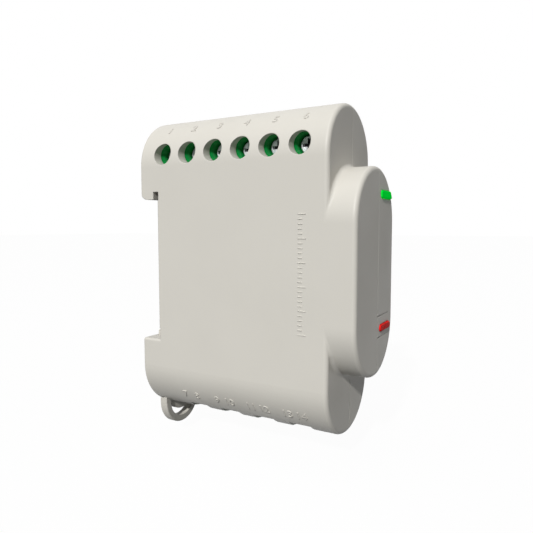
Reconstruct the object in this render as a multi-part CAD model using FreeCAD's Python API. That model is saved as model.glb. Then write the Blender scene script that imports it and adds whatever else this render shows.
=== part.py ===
import FreeCAD, Part
import math
import os

# Energy meter for a 35 mm mounting rail. Millimetres.
# Origin: centre of the flat seat that lies on the rail.
# +Z up, -Y to the front, +X away from the screw side.

V = FreeCAD.Vector
os.makedirs("parts", exist_ok=True)

# Casing
BODY_WIDTH = 23.56
BODY_HEIGHT = 72.0
RAIL_DEPTH = 5.35
SHOULDER_DEPTH = 44.14
NOSE_DEPTH = 50.3
NOSE_HEIGHT = 45.0
WALL = 1.3
PARTING_X = 1.0
FRONT_DRAFT = 0.2
FRONT_ROUND = 0.9
REAR_ROUND = 0.5
INNER_CORNER_ROUND = 0.8
PARTING_CHAMFER = 0.12

# Rail slot
HOOK_CEILING_Z = 18.1
LIP_BOTTOM_Z = 16.3
STEP_Z = -17.52
FLANGE_GROOVE = 1.4
LIP_ROUND = 2.1
STEP_ROUND = 0.6
SEAT_RELIEF = 0.2
SEAT_TOP_Z = 16.0
SEAT_BOTTOM_Z = -14.7

# Screw terminals, upper end
POLES = 6
POLE_FIRST_Y = -1.4
POLE_FRONT_GAP = 6.54
SCREW_Z = 26.9
ACCESS_RADIUS = 2.52
COLLAR_WALL = 0.9
COLLAR_END_X = -9.05
BLOCK_GAP = 0.1
BLOCK_FLOOR_Z = 20.6
BLOCK_REAR_X = 7.5
BLOCK_END_WALL = 0.1
WELL_RADIUS = 2.3
WELL_MOUTH_RADIUS = 2.6
WELL_MOUTH_DEPTH = 1.0
HEAD_RADIUS = 2.0
HEAD_FACE_X = -7.0
HEAD_THICKNESS = 1.3
HEAD_SEAT_GAP = 0.05
LEDGE = 2.65
CROSS_WIDTH = 0.7
CROSS_LENGTH = 3.0
CROSS_DEPTH = 0.75
SCREW_RADIUS = 1.2
THREAD_GAP = 0.05
CAGE_TRAVEL = 2.5
CAGE_WALL = 1.0
CAGE_FAR_WALL = 0.8
CAGE_SIDE_WALL = 0.6
CAGE_GAP = 0.15
CAGE_HEIGHT = 6.8
BAR_WIDTH = 4.2
BAR_THICKNESS = 0.8
BAR_TOP_Z = 30.0
BAR_SIDE_GAP = 0.25
TIP_GAP = 0.1
INLET_RADIUS = 1.65
LEG_WIDTH = 1.0
LEG_Z = 21.4
LEG_WALL_GAP = 0.68

# Measuring terminals, lower end
SENSORS = 4
SENSOR_FIRST_Y = -8.1
SENSOR_FRONT_GAP = 8.29
SENSOR_WIDTH = 7.2
SENSOR_NEAR_X = -5.1
SENSOR_FAR_X = 4.5
SENSOR_FACE_Z = -34.3
SENSOR_SHOULDER_Z = -30.8
SENSOR_TOP_Z = -23.6
SENSOR_GAP = 0.1
DIP_NEAR_X = -7.3
DIP_WIDTH = 5.2
DIP_CEILING_Z = -33.1
DIP_WALL = 1.0
DIP_ROOF = 1.4
CONTACT_SPACING = 3.6
WIRE_HOLE_RADIUS = 0.95
WIRE_HOLE_X = -2.2
RELEASE_X = 1.7
RELEASE_LENGTH = 2.0
RELEASE_WIDTH = 1.3
RELEASE_DEPTH = 3.4
STRIP = 0.4
STRIP_WIDTH = 1.3
CHAMBER_WIDTH = 1.9
CHAMBER_FLOOR_Z = -31.4
CHAMBER_ROOF_Z = -25.4
CHAMBER_FAR_X = 3.6
TONGUE_TIP_X = -2.9
TONGUE_TIP_Z = -27.4

# Boards
BOARD = 1.6
BOARD_X = 7.7
BOARD_EDGE_GAP = 0.5
BOARD_NOSE_GAP = 2.2
BOARD_END_GAP = 0.75
BOARD_NOSE_HALF_HEIGHT = 15.2
BOARD_HOLE_GAP = 0.12
STANDOFF_RADIUS = 1.7
LOCATING_PIN_RADIUS = 0.8
LOCATING_PIN_LENGTH = 1.2
STANDOFF_REAR_Y = -4.6
STANDOFF_FRONT_GAP = 5.14
STANDOFF_NOSE_GAP = 5.25
MODULE_BOARD = 1.0
MODULE_X = -3.0
MODULE_LENGTH = 13.6
MODULE_HEIGHT = 28.0
MODULE_Z = 4.0
HEADER_PINS = 5
HEADER_PITCH = 2.54
HEADER_WIDTH = 2.5
HEADER_BASE = 2.6
HEADER_SEAT = 1.0
PIN_WIDTH = 0.64
SHIELD_LENGTH = 11.4
SHIELD_HEIGHT = 15.0
SHIELD_DEPTH = 2.2
SHIELD_EDGE_GAP = 1.0
SHIELD_ROUND = 0.3
SHEET = 0.2
PROCESSOR_SIZE = 6.0
PROCESSOR_THICKNESS = 0.9
CRYSTAL_LENGTH = 3.2
CRYSTAL_WIDTH = 2.5
CRYSTAL_THICKNESS = 0.8

# Light bar and button in the nose
WINDOW_EDGE = 5.93
LIGHT_Z = 16.78
LIGHT_LENGTH = 7.1
LIGHT_HEIGHT = 1.65
LIGHT_CORNER = 0.5
LIGHT_RIM = 0.9
BUTTON_Z = -12.4
BUTTON_LENGTH = 7.0
BUTTON_HEIGHT = 1.5
WINDOW_GAP = 0.1
RAISED = 0.35
FLANGE_THICKNESS = 0.7
FLANGE_WIDTH = 0.6
BUTTON_TRAVEL = 0.3
BUTTON_STEM_RADIUS = 0.9
SWITCH_SIZE = 4.5
SWITCH_DEPTH = 2.6
SWITCH_HEIGHT = 3.3
SWITCH_EDGE_GAP = 0.5
PLUNGER_RADIUS = 0.8
PLUNGER_GAP = 0.05
PLUNGER_PROUD = 0.55
PLUNGER_DEPTH = 0.9
LED_WIDTH = 3.0
LED_HEIGHT = 2.4
LED_DEPTH = 1.1
LED_Z = 13.3
LED_LENS_RADIUS = 0.6
PIPE_STEM_WIDTH = 2.2
PIPE_GAP = 0.15
BUTTON_FACE_ROUND = 0.25
GROOVE_ABOVE = 2.8
GROOVE_BELOW = 1.9
GROOVE_LENGTH = 8.0
GROOVE_WIDTH = 0.22
GROOVE_DEPTH = 0.12

# Rail clip and its spring
CLIP_HALF_WIDTH = 6.6
SHANK_HALF_WIDTH = 5.0
CLIP_THICKNESS = 2.2
WING_THICKNESS = 1.05
CLIP_REAR_GAP = 0.5
CLIP_GAP = 0.15
CLIP_TRAVEL = 3.0
LOOP_CENTRE_Z = -35.38
LOOP_HOLE_RADIUS = 4.95
WEB_RADIUS = 5.2
WEB_CENTRE_Z = -33.25
WEB_RECESS = 0.4
LOOP_EDGE_ROUND = 0.35
CATCH_HALF_WIDTH = 8.0
CATCH_TOP_Z = -15.0
CATCH_BOTTOM_Z = -19.2
CATCH_DEPTH = 2.3
CATCH_RAMP = 1.3
SPRING_FOOT_Z = -33.9
SPRING_HEAD_Z = -24.4
SPRING_COIL_RADIUS = 0.9
SPRING_WIRE = 0.36
SPRING_TURNS = 9
SPRING_GAP = 0.3
LUG_THICKNESS = 1.4

# Power supply and measuring parts on the main board
SEAT_GAP = 0.02
TRANSFORMER_PLACE = 0.2673
TRANSFORMER_Z = -12.0
CORE_LENGTH = 14.0
CORE_WIDTH = 10.6
CORE_THICKNESS = 5.2
CORE_LEG = 1.7
CORE_YOKE = 1.8
CORE_LIFT = 1.7
BOBBIN_WALL = 0.45
BOBBIN_FLANGE = 0.6
BOBBIN_WIDTH = 12.6
BOBBIN_FOOT = 1.4
WINDING_INSET = 0.5
MAINS_CAN_RADIUS = 4.0
MAINS_CAN_HEIGHT = 12.5
MAINS_CAN_PLACE = 0.1586
MAINS_CAN_Z = 6.5
OUTPUT_CAN_RADIUS = 3.15
OUTPUT_CAN_HEIGHT = 8.5
OUTPUT_CAN_PLACE = 0.5211
OUTPUT_CAN_Z = -8.0
CAN_CRIMP_RADIUS = 0.35
CAN_CRIMP_X = 1.6
CAN_ROUND = 0.5
VARISTORS = 3
VARISTOR_RADIUS = 3.4
VARISTOR_THICKNESS = 3.0
VARISTOR_LIFT = 0.6
VARISTOR_Z = 16.4
VARISTOR_LEAD_Z = 2.4
LEAD_RADIUS = 0.3
FUSES = 3
FUSE_RADIUS = 1.45
FUSE_LENGTH = 7.6
FUSE_LIFT = 0.5
FUSE_FIRST_PLACE = 0.3081
FUSE_PITCH = 4.1
FUSE_Z = 6.0
FUSE_LEAD_REACH = 1.2
FUSE_BEND = 0.6
CHOKE_RADIUS = 3.0
CHOKE_HEIGHT = 6.0
CHOKE_FLANGE = 0.9
CHOKE_STEM_RADIUS = 1.4
CHOKE_PLACE = 0.5211
CHOKE_Z = -17.0
RECTIFIER_HEADER_GAP = 5.26
RECTIFIER_Z = 8.0
RECTIFIER_WIDTH = 4.8
RECTIFIER_HEIGHT = 4.0
RECTIFIER_LEGS = 2
METER_CHIP_PLACE = 0.7589
METER_CHIP_Z = -14.5
METER_CHIP_SIZE = 7.0
CHIP_THICKNESS = 1.4
CHIP_LEGS = 8
CHIP_LEG_WIDTH = 0.35
CHIP_LEG_REACH = 0.9
CHIP_LEG_THICKNESS = 0.15
CHIP_RESISTOR_THICKNESS = 0.55
CHIP_RESISTOR_WIDTH = 0.8
CHIP_RESISTOR_LENGTH = 1.6
CHIP_RESISTOR_Z = -21.2

# Snap hooks that hold the two halves together
SNAP_LENGTH = 4.4
SNAP_WIDTH = 4.0
SNAP_THICKNESS = 0.9
SNAP_BARB = 0.45
SNAP_GAP = 0.1
SNAP_ROOT = 4.0
SNAP_CATCH = 1.8
SNAP_RAMP = 1.4
SNAP_NOSE_UPPER_Z = 6.0
SNAP_NOSE_LOWER_Z = -4.5
SNAP_END_Z = 27.0

# Worked out from the driving sizes
HALF_WIDTH = BODY_WIDTH / 2
END_Z = BODY_HEIGHT / 2 - HALF_WIDTH
INNER_RADIUS = HALF_WIDTH - WALL
NOSE_END_Z = NOSE_HEIGHT / 2 - HALF_WIDTH
INNER_FRONT_Y = -(SHOULDER_DEPTH - WALL)
INNER_NOSE_Y = -(NOSE_DEPTH - FRONT_DRAFT - WALL)
SEAT_WALL_Y = -WALL
BOARD_REAR_X = BOARD_X + BOARD
BOARD_HALF_HEIGHT = END_Z + math.sqrt(INNER_RADIUS ** 2 - BOARD_REAR_X ** 2) - BOARD_END_GAP
LEG_END_X = INNER_RADIUS - LEG_WALL_GAP
WINDOW_X = HALF_WIDTH - WINDOW_EDGE
POLE_PITCH = (SHOULDER_DEPTH + POLE_FIRST_Y - POLE_FRONT_GAP) / (POLES - 1)
SENSOR_PITCH = (SHOULDER_DEPTH + SENSOR_FIRST_Y - SENSOR_FRONT_GAP) / (SENSORS - 1)
TRANSFORMER_Y = -SHOULDER_DEPTH * TRANSFORMER_PLACE
MAINS_CAN_Y = -SHOULDER_DEPTH * MAINS_CAN_PLACE
OUTPUT_CAN_Y = -SHOULDER_DEPTH * OUTPUT_CAN_PLACE
FUSE_FIRST_Y = -SHOULDER_DEPTH * FUSE_FIRST_PLACE
CHOKE_Y = -SHOULDER_DEPTH * CHOKE_PLACE
METER_CHIP_Y = -SHOULDER_DEPTH * METER_CHIP_PLACE
STANDOFF_FRONT_Y = STANDOFF_FRONT_GAP - SHOULDER_DEPTH
STANDOFF_NOSE_Y = STANDOFF_NOSE_GAP - NOSE_DEPTH
STANDOFF_PLACES = [
    (STANDOFF_REAR_Y, -14.5),
    (STANDOFF_REAR_Y, 15.5),
    (STANDOFF_NOSE_Y, -2.5),
    (STANDOFF_FRONT_Y, 17.5),
    (STANDOFF_FRONT_Y, -17.5),
]
FAR = 40.0
PAST = 1.0
TOUCH = 0.02
EDGE_SAMPLES = 6


def pole_y(index):
    return POLE_FIRST_Y - POLE_PITCH * index


def sensor_y(index):
    return SENSOR_FIRST_Y - SENSOR_PITCH * index


def box(x0, x1, y0, y1, z0, z1):
    return Part.makeBox(x1 - x0, y1 - y0, z1 - z0, V(x0, y0, z0))


def rod_x(radius, x0, x1, y, z):
    return Part.makeCylinder(radius, x1 - x0, V(x0, y, z), V(1, 0, 0))


def rod_y(radius, y0, y1, x, z):
    return Part.makeCylinder(radius, y1 - y0, V(x, y0, z), V(0, 1, 0))


def rod_z(radius, z0, z1, x, y):
    return Part.makeCylinder(radius, z1 - z0, V(x, y, z0), V(0, 0, 1))


def joined(first, *others):
    return first.fuse(list(others)).removeSplitter() if others else first


def prism(points, direction):
    """Closed straight-edged outline pushed along a direction."""
    outline = Part.makePolygon(points + [points[0]])
    return Part.Face(outline).extrude(direction)


def stadium(radius, y0, y1, end_z=END_Z):
    """Upright bar with round ends about centres at plus and minus end_z."""
    top, bottom = V(0, y0, end_z), V(0, y0, -end_z)
    side = V(radius, 0, 0)
    rise = V(0, 0, radius)
    edges = [
        Part.Arc(top - side, top + rise, top + side).toShape(),
        Part.LineSegment(top + side, bottom + side).toShape(),
        Part.Arc(bottom + side, bottom - rise, bottom - side).toShape(),
        Part.LineSegment(bottom - side, top - side).toShape(),
    ]
    return Part.Face(Part.Wire(edges)).extrude(V(0, y1 - y0, 0))


def runs_along(edge, axis):
    return near(abs(edge.tangentAt(edge.FirstParameter).dot(axis)), axis.Length)


def pill(length, height, corner, y0, y1, x, z):
    """Bar with rounded corners, seen from the front."""
    bar = box(x - length / 2, x + length / 2, y0, y1, z - height / 2, z + height / 2)
    edges = [e for e in bar.Edges if runs_along(e, V(0, 1, 0))]
    return bar.makeFillet(min(corner, height / 2 - TOUCH), edges)


def edges_where(shape, test):
    """Edges whose two ends and middle all pass the test."""
    found = []
    for edge in shape.Edges:
        middle = edge.valueAt((edge.FirstParameter + edge.LastParameter) / 2)
        points = [middle] + [v.Point for v in edge.Vertexes]
        if all(test(p) for p in points):
            found.append(edge)
    return found


def near(value, target):
    return abs(value - target) < TOUCH


# Casing halves

def along(edge):
    """A few points from one end of an edge to the other."""
    span = edge.LastParameter - edge.FirstParameter
    return [edge.valueAt(edge.FirstParameter + span * k / EDGE_SAMPLES) for k in range(EDGE_SAMPLES + 1)]


def on_nose_root(edge, root_y):
    """Whether an edge is the corner between the shoulder and the nose's round end."""
    for p in along(edge):
        out = math.hypot(p.x, abs(p.z) - NOSE_END_Z)
        if abs(p.z) < NOSE_END_Z - TOUCH or not near(out, HALF_WIDTH):
            return False
        if not -SHOULDER_DEPTH - TOUCH < p.y < root_y + TOUCH:
            return False
    return True


def outer_half(side):
    """Outside of one half: side is -1 for the screw side and +1 for the far side.

    Both are built towards +X, and the one at the screw side is then mirrored.
    """
    parting_x = side * PARTING_X
    body = stadium(HALF_WIDTH, -SHOULDER_DEPTH, RAIL_DEPTH)
    body = body.common(box(parting_x, HALF_WIDTH, -FAR * 2, FAR, -FAR, FAR))
    front = edges_where(body, lambda p: near(p.y, -SHOULDER_DEPTH))
    front = [e for e in front if not all(near(v.Point.x, parting_x) for v in e.Vertexes)]
    body = body.makeFillet(FRONT_ROUND, front)
    rear = edges_where(body, lambda p: near(p.y, RAIL_DEPTH))
    rear = [e for e in rear if not all(near(v.Point.x, parting_x) for v in e.Vertexes)]
    body = body.makeFillet(REAR_ROUND, rear)
    root_y = -SHOULDER_DEPTH + FRONT_ROUND * 2
    nose = stadium(HALF_WIDTH, -NOSE_DEPTH, root_y, NOSE_END_Z)
    nose = nose.common(box(parting_x, HALF_WIDTH, -FAR * 2, FAR, -FAR, FAR))
    lean = prism(
        [V(parting_x, -NOSE_DEPTH, -FAR),
         V(HALF_WIDTH, FRONT_DRAFT - NOSE_DEPTH, -FAR),
         V(HALF_WIDTH, -FAR * 2, -FAR),
         V(parting_x, -FAR * 2, -FAR)],
        V(0, 0, 2 * FAR))
    nose = nose.cut(lean)
    rim = edges_where(nose, lambda p: p.y < -NOSE_DEPTH + FRONT_DRAFT + TOUCH)
    rim = [e for e in rim if not all(near(v.Point.x, parting_x) for v in e.Vertexes)]
    nose = nose.makeFillet(FRONT_ROUND, rim)
    half = joined(body, nose)
    half = half.makeFillet(INNER_CORNER_ROUND, [e for e in half.Edges if on_nose_root(e, root_y)])
    parting = [f for f in half.Faces if all(near(v.Point.x, parting_x) for v in f.Vertexes)]
    half = half.makeChamfer(PARTING_CHAMFER, parting[0].Edges)
    return half if side > 0 else half.mirror(V(0, 0, 0), V(1, 0, 0))


def rail_notch():
    """Space for the rail: hook's lip above, flat step below, the seat a little proud."""
    past = RAIL_DEPTH + PAST
    centre = V(-FAR, RAIL_DEPTH - LIP_ROUND, LIP_BOTTOM_Z + LIP_ROUND)
    lip_mid = centre + V(0, LIP_ROUND, -LIP_ROUND) * math.sqrt(0.5)
    start = V(-FAR, RAIL_DEPTH, LIP_BOTTOM_Z + LIP_ROUND)
    end = V(-FAR, RAIL_DEPTH - LIP_ROUND, LIP_BOTTOM_Z)
    stops = [
        end,
        V(-FAR, FLANGE_GROOVE, LIP_BOTTOM_Z),
        V(-FAR, FLANGE_GROOVE, HOOK_CEILING_Z),
        V(-FAR, -SEAT_RELIEF, HOOK_CEILING_Z),
        V(-FAR, -SEAT_RELIEF, SEAT_TOP_Z),
        V(-FAR, 0, SEAT_TOP_Z),
        V(-FAR, 0, SEAT_BOTTOM_Z),
        V(-FAR, -SEAT_RELIEF, SEAT_BOTTOM_Z),
        V(-FAR, -SEAT_RELIEF, STEP_Z),
        V(-FAR, past, STEP_Z),
        V(-FAR, past, start.z),
        start,
    ]
    edges = [Part.LineSegment(a, b).toShape() for a, b in zip(stops, stops[1:])]
    edges.append(Part.Arc(start, lip_mid, end).toShape())
    return Part.Face(Part.Wire(edges)).extrude(V(2 * FAR, 0, 0))


def cavity():
    """Hollow of the casing, with the part that reaches behind the seat above the hook."""
    main = stadium(INNER_RADIUS, INNER_FRONT_Y, SEAT_WALL_Y)
    above_hook = stadium(INNER_RADIUS, SEAT_WALL_Y - PAST, RAIL_DEPTH - WALL)
    above_hook = above_hook.common(box(-FAR, FAR, -FAR, FAR, HOOK_CEILING_Z + WALL, FAR))
    nose = stadium(INNER_RADIUS, INNER_NOSE_Y, INNER_FRONT_Y + PAST, NOSE_END_Z)
    return joined(main, above_hook, nose)


def clip_channel():
    """Guide for the clip in the lower back, its catch's pocket and the spring's groove."""
    front = RAIL_DEPTH - CLIP_REAR_GAP - CLIP_THICKNESS - CLIP_GAP
    wings_back = front + WING_THICKNESS + 2 * CLIP_GAP
    wing = CLIP_HALF_WIDTH + CLIP_GAP
    shank = SHANK_HALF_WIDTH + CLIP_GAP
    catch = CATCH_HALF_WIDTH + CLIP_GAP
    catch_floor = CATCH_BOTTOM_Z - CLIP_TRAVEL - CLIP_GAP
    groove = SPRING_COIL_RADIUS + SPRING_WIRE / 2 + SPRING_GAP
    pieces = [
        box(-shank, shank, front, FAR, -FAR, STEP_Z + PAST),
        box(-catch, catch, FLANGE_GROOVE - CLIP_GAP, wings_back, catch_floor, STEP_Z + PAST),
        box(-groove, groove, spring_y() - groove, front + PAST, SPRING_FOOT_Z, catch_floor + PAST),
    ]
    return joined(box(-wing, wing, front, wings_back, -FAR, STEP_Z + PAST), *pieces)


def spring_y():
    """The spring stands in a groove in front of the clip's plate."""
    front = RAIL_DEPTH - CLIP_REAR_GAP - CLIP_THICKNESS
    return front - SPRING_COIL_RADIUS - SPRING_WIRE / 2 - CLIP_GAP


def sensor_windows():
    """Openings in the casing's lower end, one for each measuring terminal."""
    windows = []
    half = SENSOR_WIDTH / 2 + SENSOR_GAP
    for i in range(SENSORS):
        y = sensor_y(i)
        x0, x1 = SENSOR_NEAR_X - SENSOR_GAP, SENSOR_FAR_X + SENSOR_GAP
        windows.append(box(x0, x1, y - half, y + half, -FAR, -END_Z))
    return windows


def thumb_dips():
    """Dip in the casing's lower edge beside each opening: the block round it, then the dip."""
    blocks, dips = [], []
    half = DIP_WIDTH / 2
    far_x = SENSOR_NEAR_X - SENSOR_GAP
    for i in range(SENSORS):
        y = sensor_y(i)
        blocks.append(box(DIP_NEAR_X - DIP_WALL, far_x, y - half - DIP_WALL, y + half + DIP_WALL,
                          -FAR, DIP_CEILING_Z + DIP_ROOF))
        dips.append(box(DIP_NEAR_X, far_x + TOUCH, y - half, y + half, -FAR, DIP_CEILING_Z))
    return blocks, dips


def snap_places():
    """Each hook lies on a front wall: the wall's inner face and the hook's height."""
    return [
        (INNER_NOSE_Y, SNAP_NOSE_UPPER_Z),
        (INNER_NOSE_Y, SNAP_NOSE_LOWER_Z),
        (INNER_FRONT_Y, SNAP_END_Z),
        (INNER_FRONT_Y, -SNAP_END_Z),
    ]


def snap_hook(wall_y, z):
    """Tongue of the screw-side half that reaches under the other half's front wall."""
    tip = PARTING_X + SNAP_LENGTH
    z0, z1 = z - SNAP_WIDTH / 2, z + SNAP_WIDTH / 2
    face = wall_y + SNAP_GAP
    barb_y = face - SNAP_BARB
    tongue = box(PARTING_X - SNAP_ROOT, tip, face, face + SNAP_THICKNESS, z0, z1)
    root = box(PARTING_X - SNAP_ROOT, PARTING_X, wall_y - WALL / 2, face + SNAP_THICKNESS / 2, z0, z1)
    outline = [
        V(tip - SNAP_CATCH, face, z0),
        V(tip, face, z0),
        V(tip - SNAP_RAMP, barb_y, z0),
        V(tip - SNAP_CATCH, barb_y, z0),
    ]
    barb = prism(outline, V(0, 0, SNAP_WIDTH))
    return joined(tongue, root, barb)


def snap_pocket(wall_y, z):
    """Hollow in the far half's wall for the hook's barb."""
    tip = PARTING_X + SNAP_LENGTH
    half = SNAP_WIDTH / 2 + SNAP_GAP
    deep = tip - SNAP_CATCH - SNAP_GAP
    return box(deep, tip + SNAP_GAP, wall_y - SNAP_BARB, wall_y + PAST, z - half, z + half)


def rounded_step(shell, x_side):
    """Round on the outer edge of the notch's lower step."""
    rim = edges_where(shell, lambda p: near(p.z, STEP_Z) and near(p.x, x_side))
    return shell.makeFillet(STEP_ROUND, rim)


def left_shell():
    shell = outer_half(-1)
    shell = shell.cut([cavity(), rail_notch(), clip_channel()] + sensor_windows())
    collars = []
    holes = []
    inside = stadium(INNER_RADIUS + WALL / 2, -SHOULDER_DEPTH + WALL / 2, RAIL_DEPTH - WALL / 2)
    for i in range(POLES):
        y = pole_y(i)
        collar = rod_x(ACCESS_RADIUS + COLLAR_WALL, -HALF_WIDTH, COLLAR_END_X, y, SCREW_Z)
        collars.append(collar.common(inside))
        holes.append(rod_x(ACCESS_RADIUS, -FAR, 0, y, SCREW_Z))
    blocks, dips = thumb_dips()
    shell = joined(shell, *collars, *[b.common(inside) for b in blocks])
    shell = shell.cut(holes + dips)
    hooks = [snap_hook(y, z) for y, z in snap_places()]
    shell = joined(shell, *hooks)
    return rounded_step(shell, -HALF_WIDTH)


def right_shell():
    shell = outer_half(1)
    cuts = [cavity(), rail_notch(), clip_channel()] + sensor_windows()
    cuts += [rod_z(INLET_RADIUS, END_Z, FAR, inlet_x(), pole_y(i)) for i in range(POLES)]
    cuts += [snap_pocket(y, z) for y, z in snap_places()]
    light_room = stadium(HALF_WIDTH - LIGHT_RIM + WINDOW_GAP, -FAR * 2, FAR, NOSE_END_Z)
    cuts += [window(LIGHT_LENGTH, LIGHT_HEIGHT, LIGHT_CORNER, LIGHT_Z).common(light_room)]
    cuts += [window(BUTTON_LENGTH, BUTTON_HEIGHT, BUTTON_HEIGHT / 2, BUTTON_Z)]
    cuts += [groove_line(BUTTON_Z + GROOVE_ABOVE), groove_line(BUTTON_Z - GROOVE_BELOW)]
    shell = shell.cut(cuts)
    shell = rounded_step(shell, HALF_WIDTH)
    return joined(shell, *standoffs())


def window(length, height, corner, z):
    gap = 2 * WINDOW_GAP
    return pill(length + gap, height + gap, corner + WINDOW_GAP, -FAR * 2, INNER_NOSE_Y + PAST, WINDOW_X, z)


def groove_line(z):
    """Fine line pressed in the front face above and below the button."""
    surface = front_y(WINDOW_X) + GROOVE_DEPTH
    x0 = PARTING_X
    return box(x0, x0 + GROOVE_LENGTH, -FAR * 2, surface, z - GROOVE_WIDTH / 2, z + GROOVE_WIDTH / 2)


def front_y(x):
    """Front face of the nose, which leans back a little from the parting line to each side."""
    side = HALF_WIDTH if x > PARTING_X else -HALF_WIDTH
    return -NOSE_DEPTH + FRONT_DRAFT * (x - PARTING_X) / (side - PARTING_X)


def standoffs():
    """Bosses on the far wall that carry the main board on their pins."""
    pieces = []
    for y, z in STANDOFF_PLACES:
        pieces.append(rod_x(STANDOFF_RADIUS, BOARD_REAR_X, HALF_WIDTH - WALL / 2, y, z))
        pieces.append(rod_x(LOCATING_PIN_RADIUS, BOARD_REAR_X - LOCATING_PIN_LENGTH, BOARD_REAR_X, y, z))
    return pieces


# Screw terminals

def bar_x():
    """Near face of each contact bar: the screw's tip ends just before it."""
    ledge_inner = HEAD_FACE_X + HEAD_THICKNESS + HEAD_SEAT_GAP + LEDGE
    return ledge_inner + CAGE_GAP + CAGE_TRAVEL + CAGE_WALL + CAGE_GAP


def cage_x():
    return bar_x() - CAGE_GAP - CAGE_WALL


def cage_far_x():
    """Inner face of the cage's far wall, past the bar and the widest wire."""
    return bar_x() + BAR_THICKNESS + 2 * INLET_RADIUS + CAGE_GAP


def inlet_x():
    return bar_x() + BAR_THICKNESS + INLET_RADIUS


def cage_half_width():
    return BAR_WIDTH / 2 + BAR_SIDE_GAP + CAGE_SIDE_WALL


def screw_terminal_block():
    radius = INNER_RADIUS - BLOCK_GAP
    half = POLE_PITCH / 2 - BLOCK_END_WALL
    y_rear, y_front = pole_y(0) + half, pole_y(POLES - 1) - half
    body = stadium(radius, y_front, y_rear)
    near_x = COLLAR_END_X + BLOCK_GAP
    body = body.common(box(near_x, BLOCK_REAR_X, -FAR * 2, FAR, BLOCK_FLOOR_Z, FAR))
    head_seat = HEAD_FACE_X + HEAD_THICKNESS + HEAD_SEAT_GAP
    chamber_far = cage_far_x() + CAGE_FAR_WALL + 2 * CAGE_GAP
    wide = cage_half_width() + CAGE_GAP
    tall = CAGE_HEIGHT / 2 + CAGE_GAP
    bar_half = BAR_WIDTH / 2 + CAGE_GAP
    leg_half = LEG_WIDTH / 2 + BOARD_HOLE_GAP
    leg_top = LEG_Z + BAR_THICKNESS + BOARD_HOLE_GAP
    shank = SCREW_RADIUS + THREAD_GAP * 2
    cuts = []
    for i in range(POLES):
        y = pole_y(i)
        cuts.append(rod_x(WELL_RADIUS, near_x - PAST, head_seat, y, SCREW_Z))
        cuts.append(Part.makeCone(WELL_MOUTH_RADIUS, WELL_RADIUS, WELL_MOUTH_DEPTH,
                                  V(near_x, y, SCREW_Z), V(1, 0, 0)))
        cuts.append(rod_x(shank, head_seat - PAST, head_seat + LEDGE + PAST, y, SCREW_Z))
        cuts.append(box(head_seat + LEDGE, chamber_far, y - wide, y + wide, SCREW_Z - tall, SCREW_Z + tall))
        cuts.append(rod_z(INLET_RADIUS, SCREW_Z, FAR, inlet_x(), y))
        cuts.append(box(bar_x() - CAGE_GAP, bar_x() + BAR_THICKNESS + CAGE_GAP, y - bar_half, y + bar_half,
                        BLOCK_FLOOR_Z - PAST, SCREW_Z))
        cuts.append(box(bar_x(), FAR, y - leg_half, y + leg_half, BLOCK_FLOOR_Z - PAST, leg_top))
    return body.cut(cuts)


def contact_bars():
    """Flat bar in each cage, with a leg through the main board."""
    bars = []
    for i in range(POLES):
        y = pole_y(i)
        y0 = y - BAR_WIDTH / 2
        plate = box(bar_x(), bar_x() + BAR_THICKNESS, y0, y0 + BAR_WIDTH, LEG_Z, BAR_TOP_Z)
        leg = box(bar_x(), LEG_END_X, y - LEG_WIDTH / 2, y + LEG_WIDTH / 2,
                  LEG_Z, LEG_Z + BAR_THICKNESS)
        bars.append(joined(plate, leg))
    return Part.makeCompound(bars)


def terminal_screw(index):
    y = pole_y(index)
    head_back = HEAD_FACE_X + HEAD_THICKNESS
    head = rod_x(HEAD_RADIUS, HEAD_FACE_X, head_back, y, SCREW_Z)
    rim = edges_where(head, lambda p: near(p.x, HEAD_FACE_X))
    head = head.makeFillet(HEAD_THICKNESS / 4, rim)
    half, reach = CROSS_WIDTH / 2, CROSS_LENGTH / 2
    deep = HEAD_FACE_X + CROSS_DEPTH
    cross = [
        box(HEAD_FACE_X - PAST, deep, y - half, y + half, SCREW_Z - reach, SCREW_Z + reach),
        box(HEAD_FACE_X - PAST, deep, y - reach, y + reach, SCREW_Z - half, SCREW_Z + half),
    ]
    shank = rod_x(SCREW_RADIUS, head_back, bar_x() - TIP_GAP, y, SCREW_Z)
    return joined(head, shank).cut(cross)


def clamp_cage(index):
    """Square loop round the bar and the wire, drawn towards the screw's head."""
    y = pole_y(index)
    half = cage_half_width()
    inner = half - CAGE_SIDE_WALL
    z0, z1 = SCREW_Z - CAGE_HEIGHT / 2, SCREW_Z + CAGE_HEIGHT / 2
    ring = box(cage_x(), cage_far_x() + CAGE_FAR_WALL, y - half, y + half, z0, z1)
    hollow = box(cage_x() + CAGE_WALL, cage_far_x(), y - inner, y + inner, z0 - 1, z1 + 1)
    thread = rod_x(SCREW_RADIUS + THREAD_GAP, cage_x() - PAST, cage_x() + CAGE_WALL + PAST, y, SCREW_Z)
    return ring.cut([hollow, thread])


# Measuring terminals

def contact_offsets():
    return (-CONTACT_SPACING / 2, CONTACT_SPACING / 2)


def strip_top_z():
    return CHAMBER_ROOF_Z - SENSOR_GAP


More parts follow.
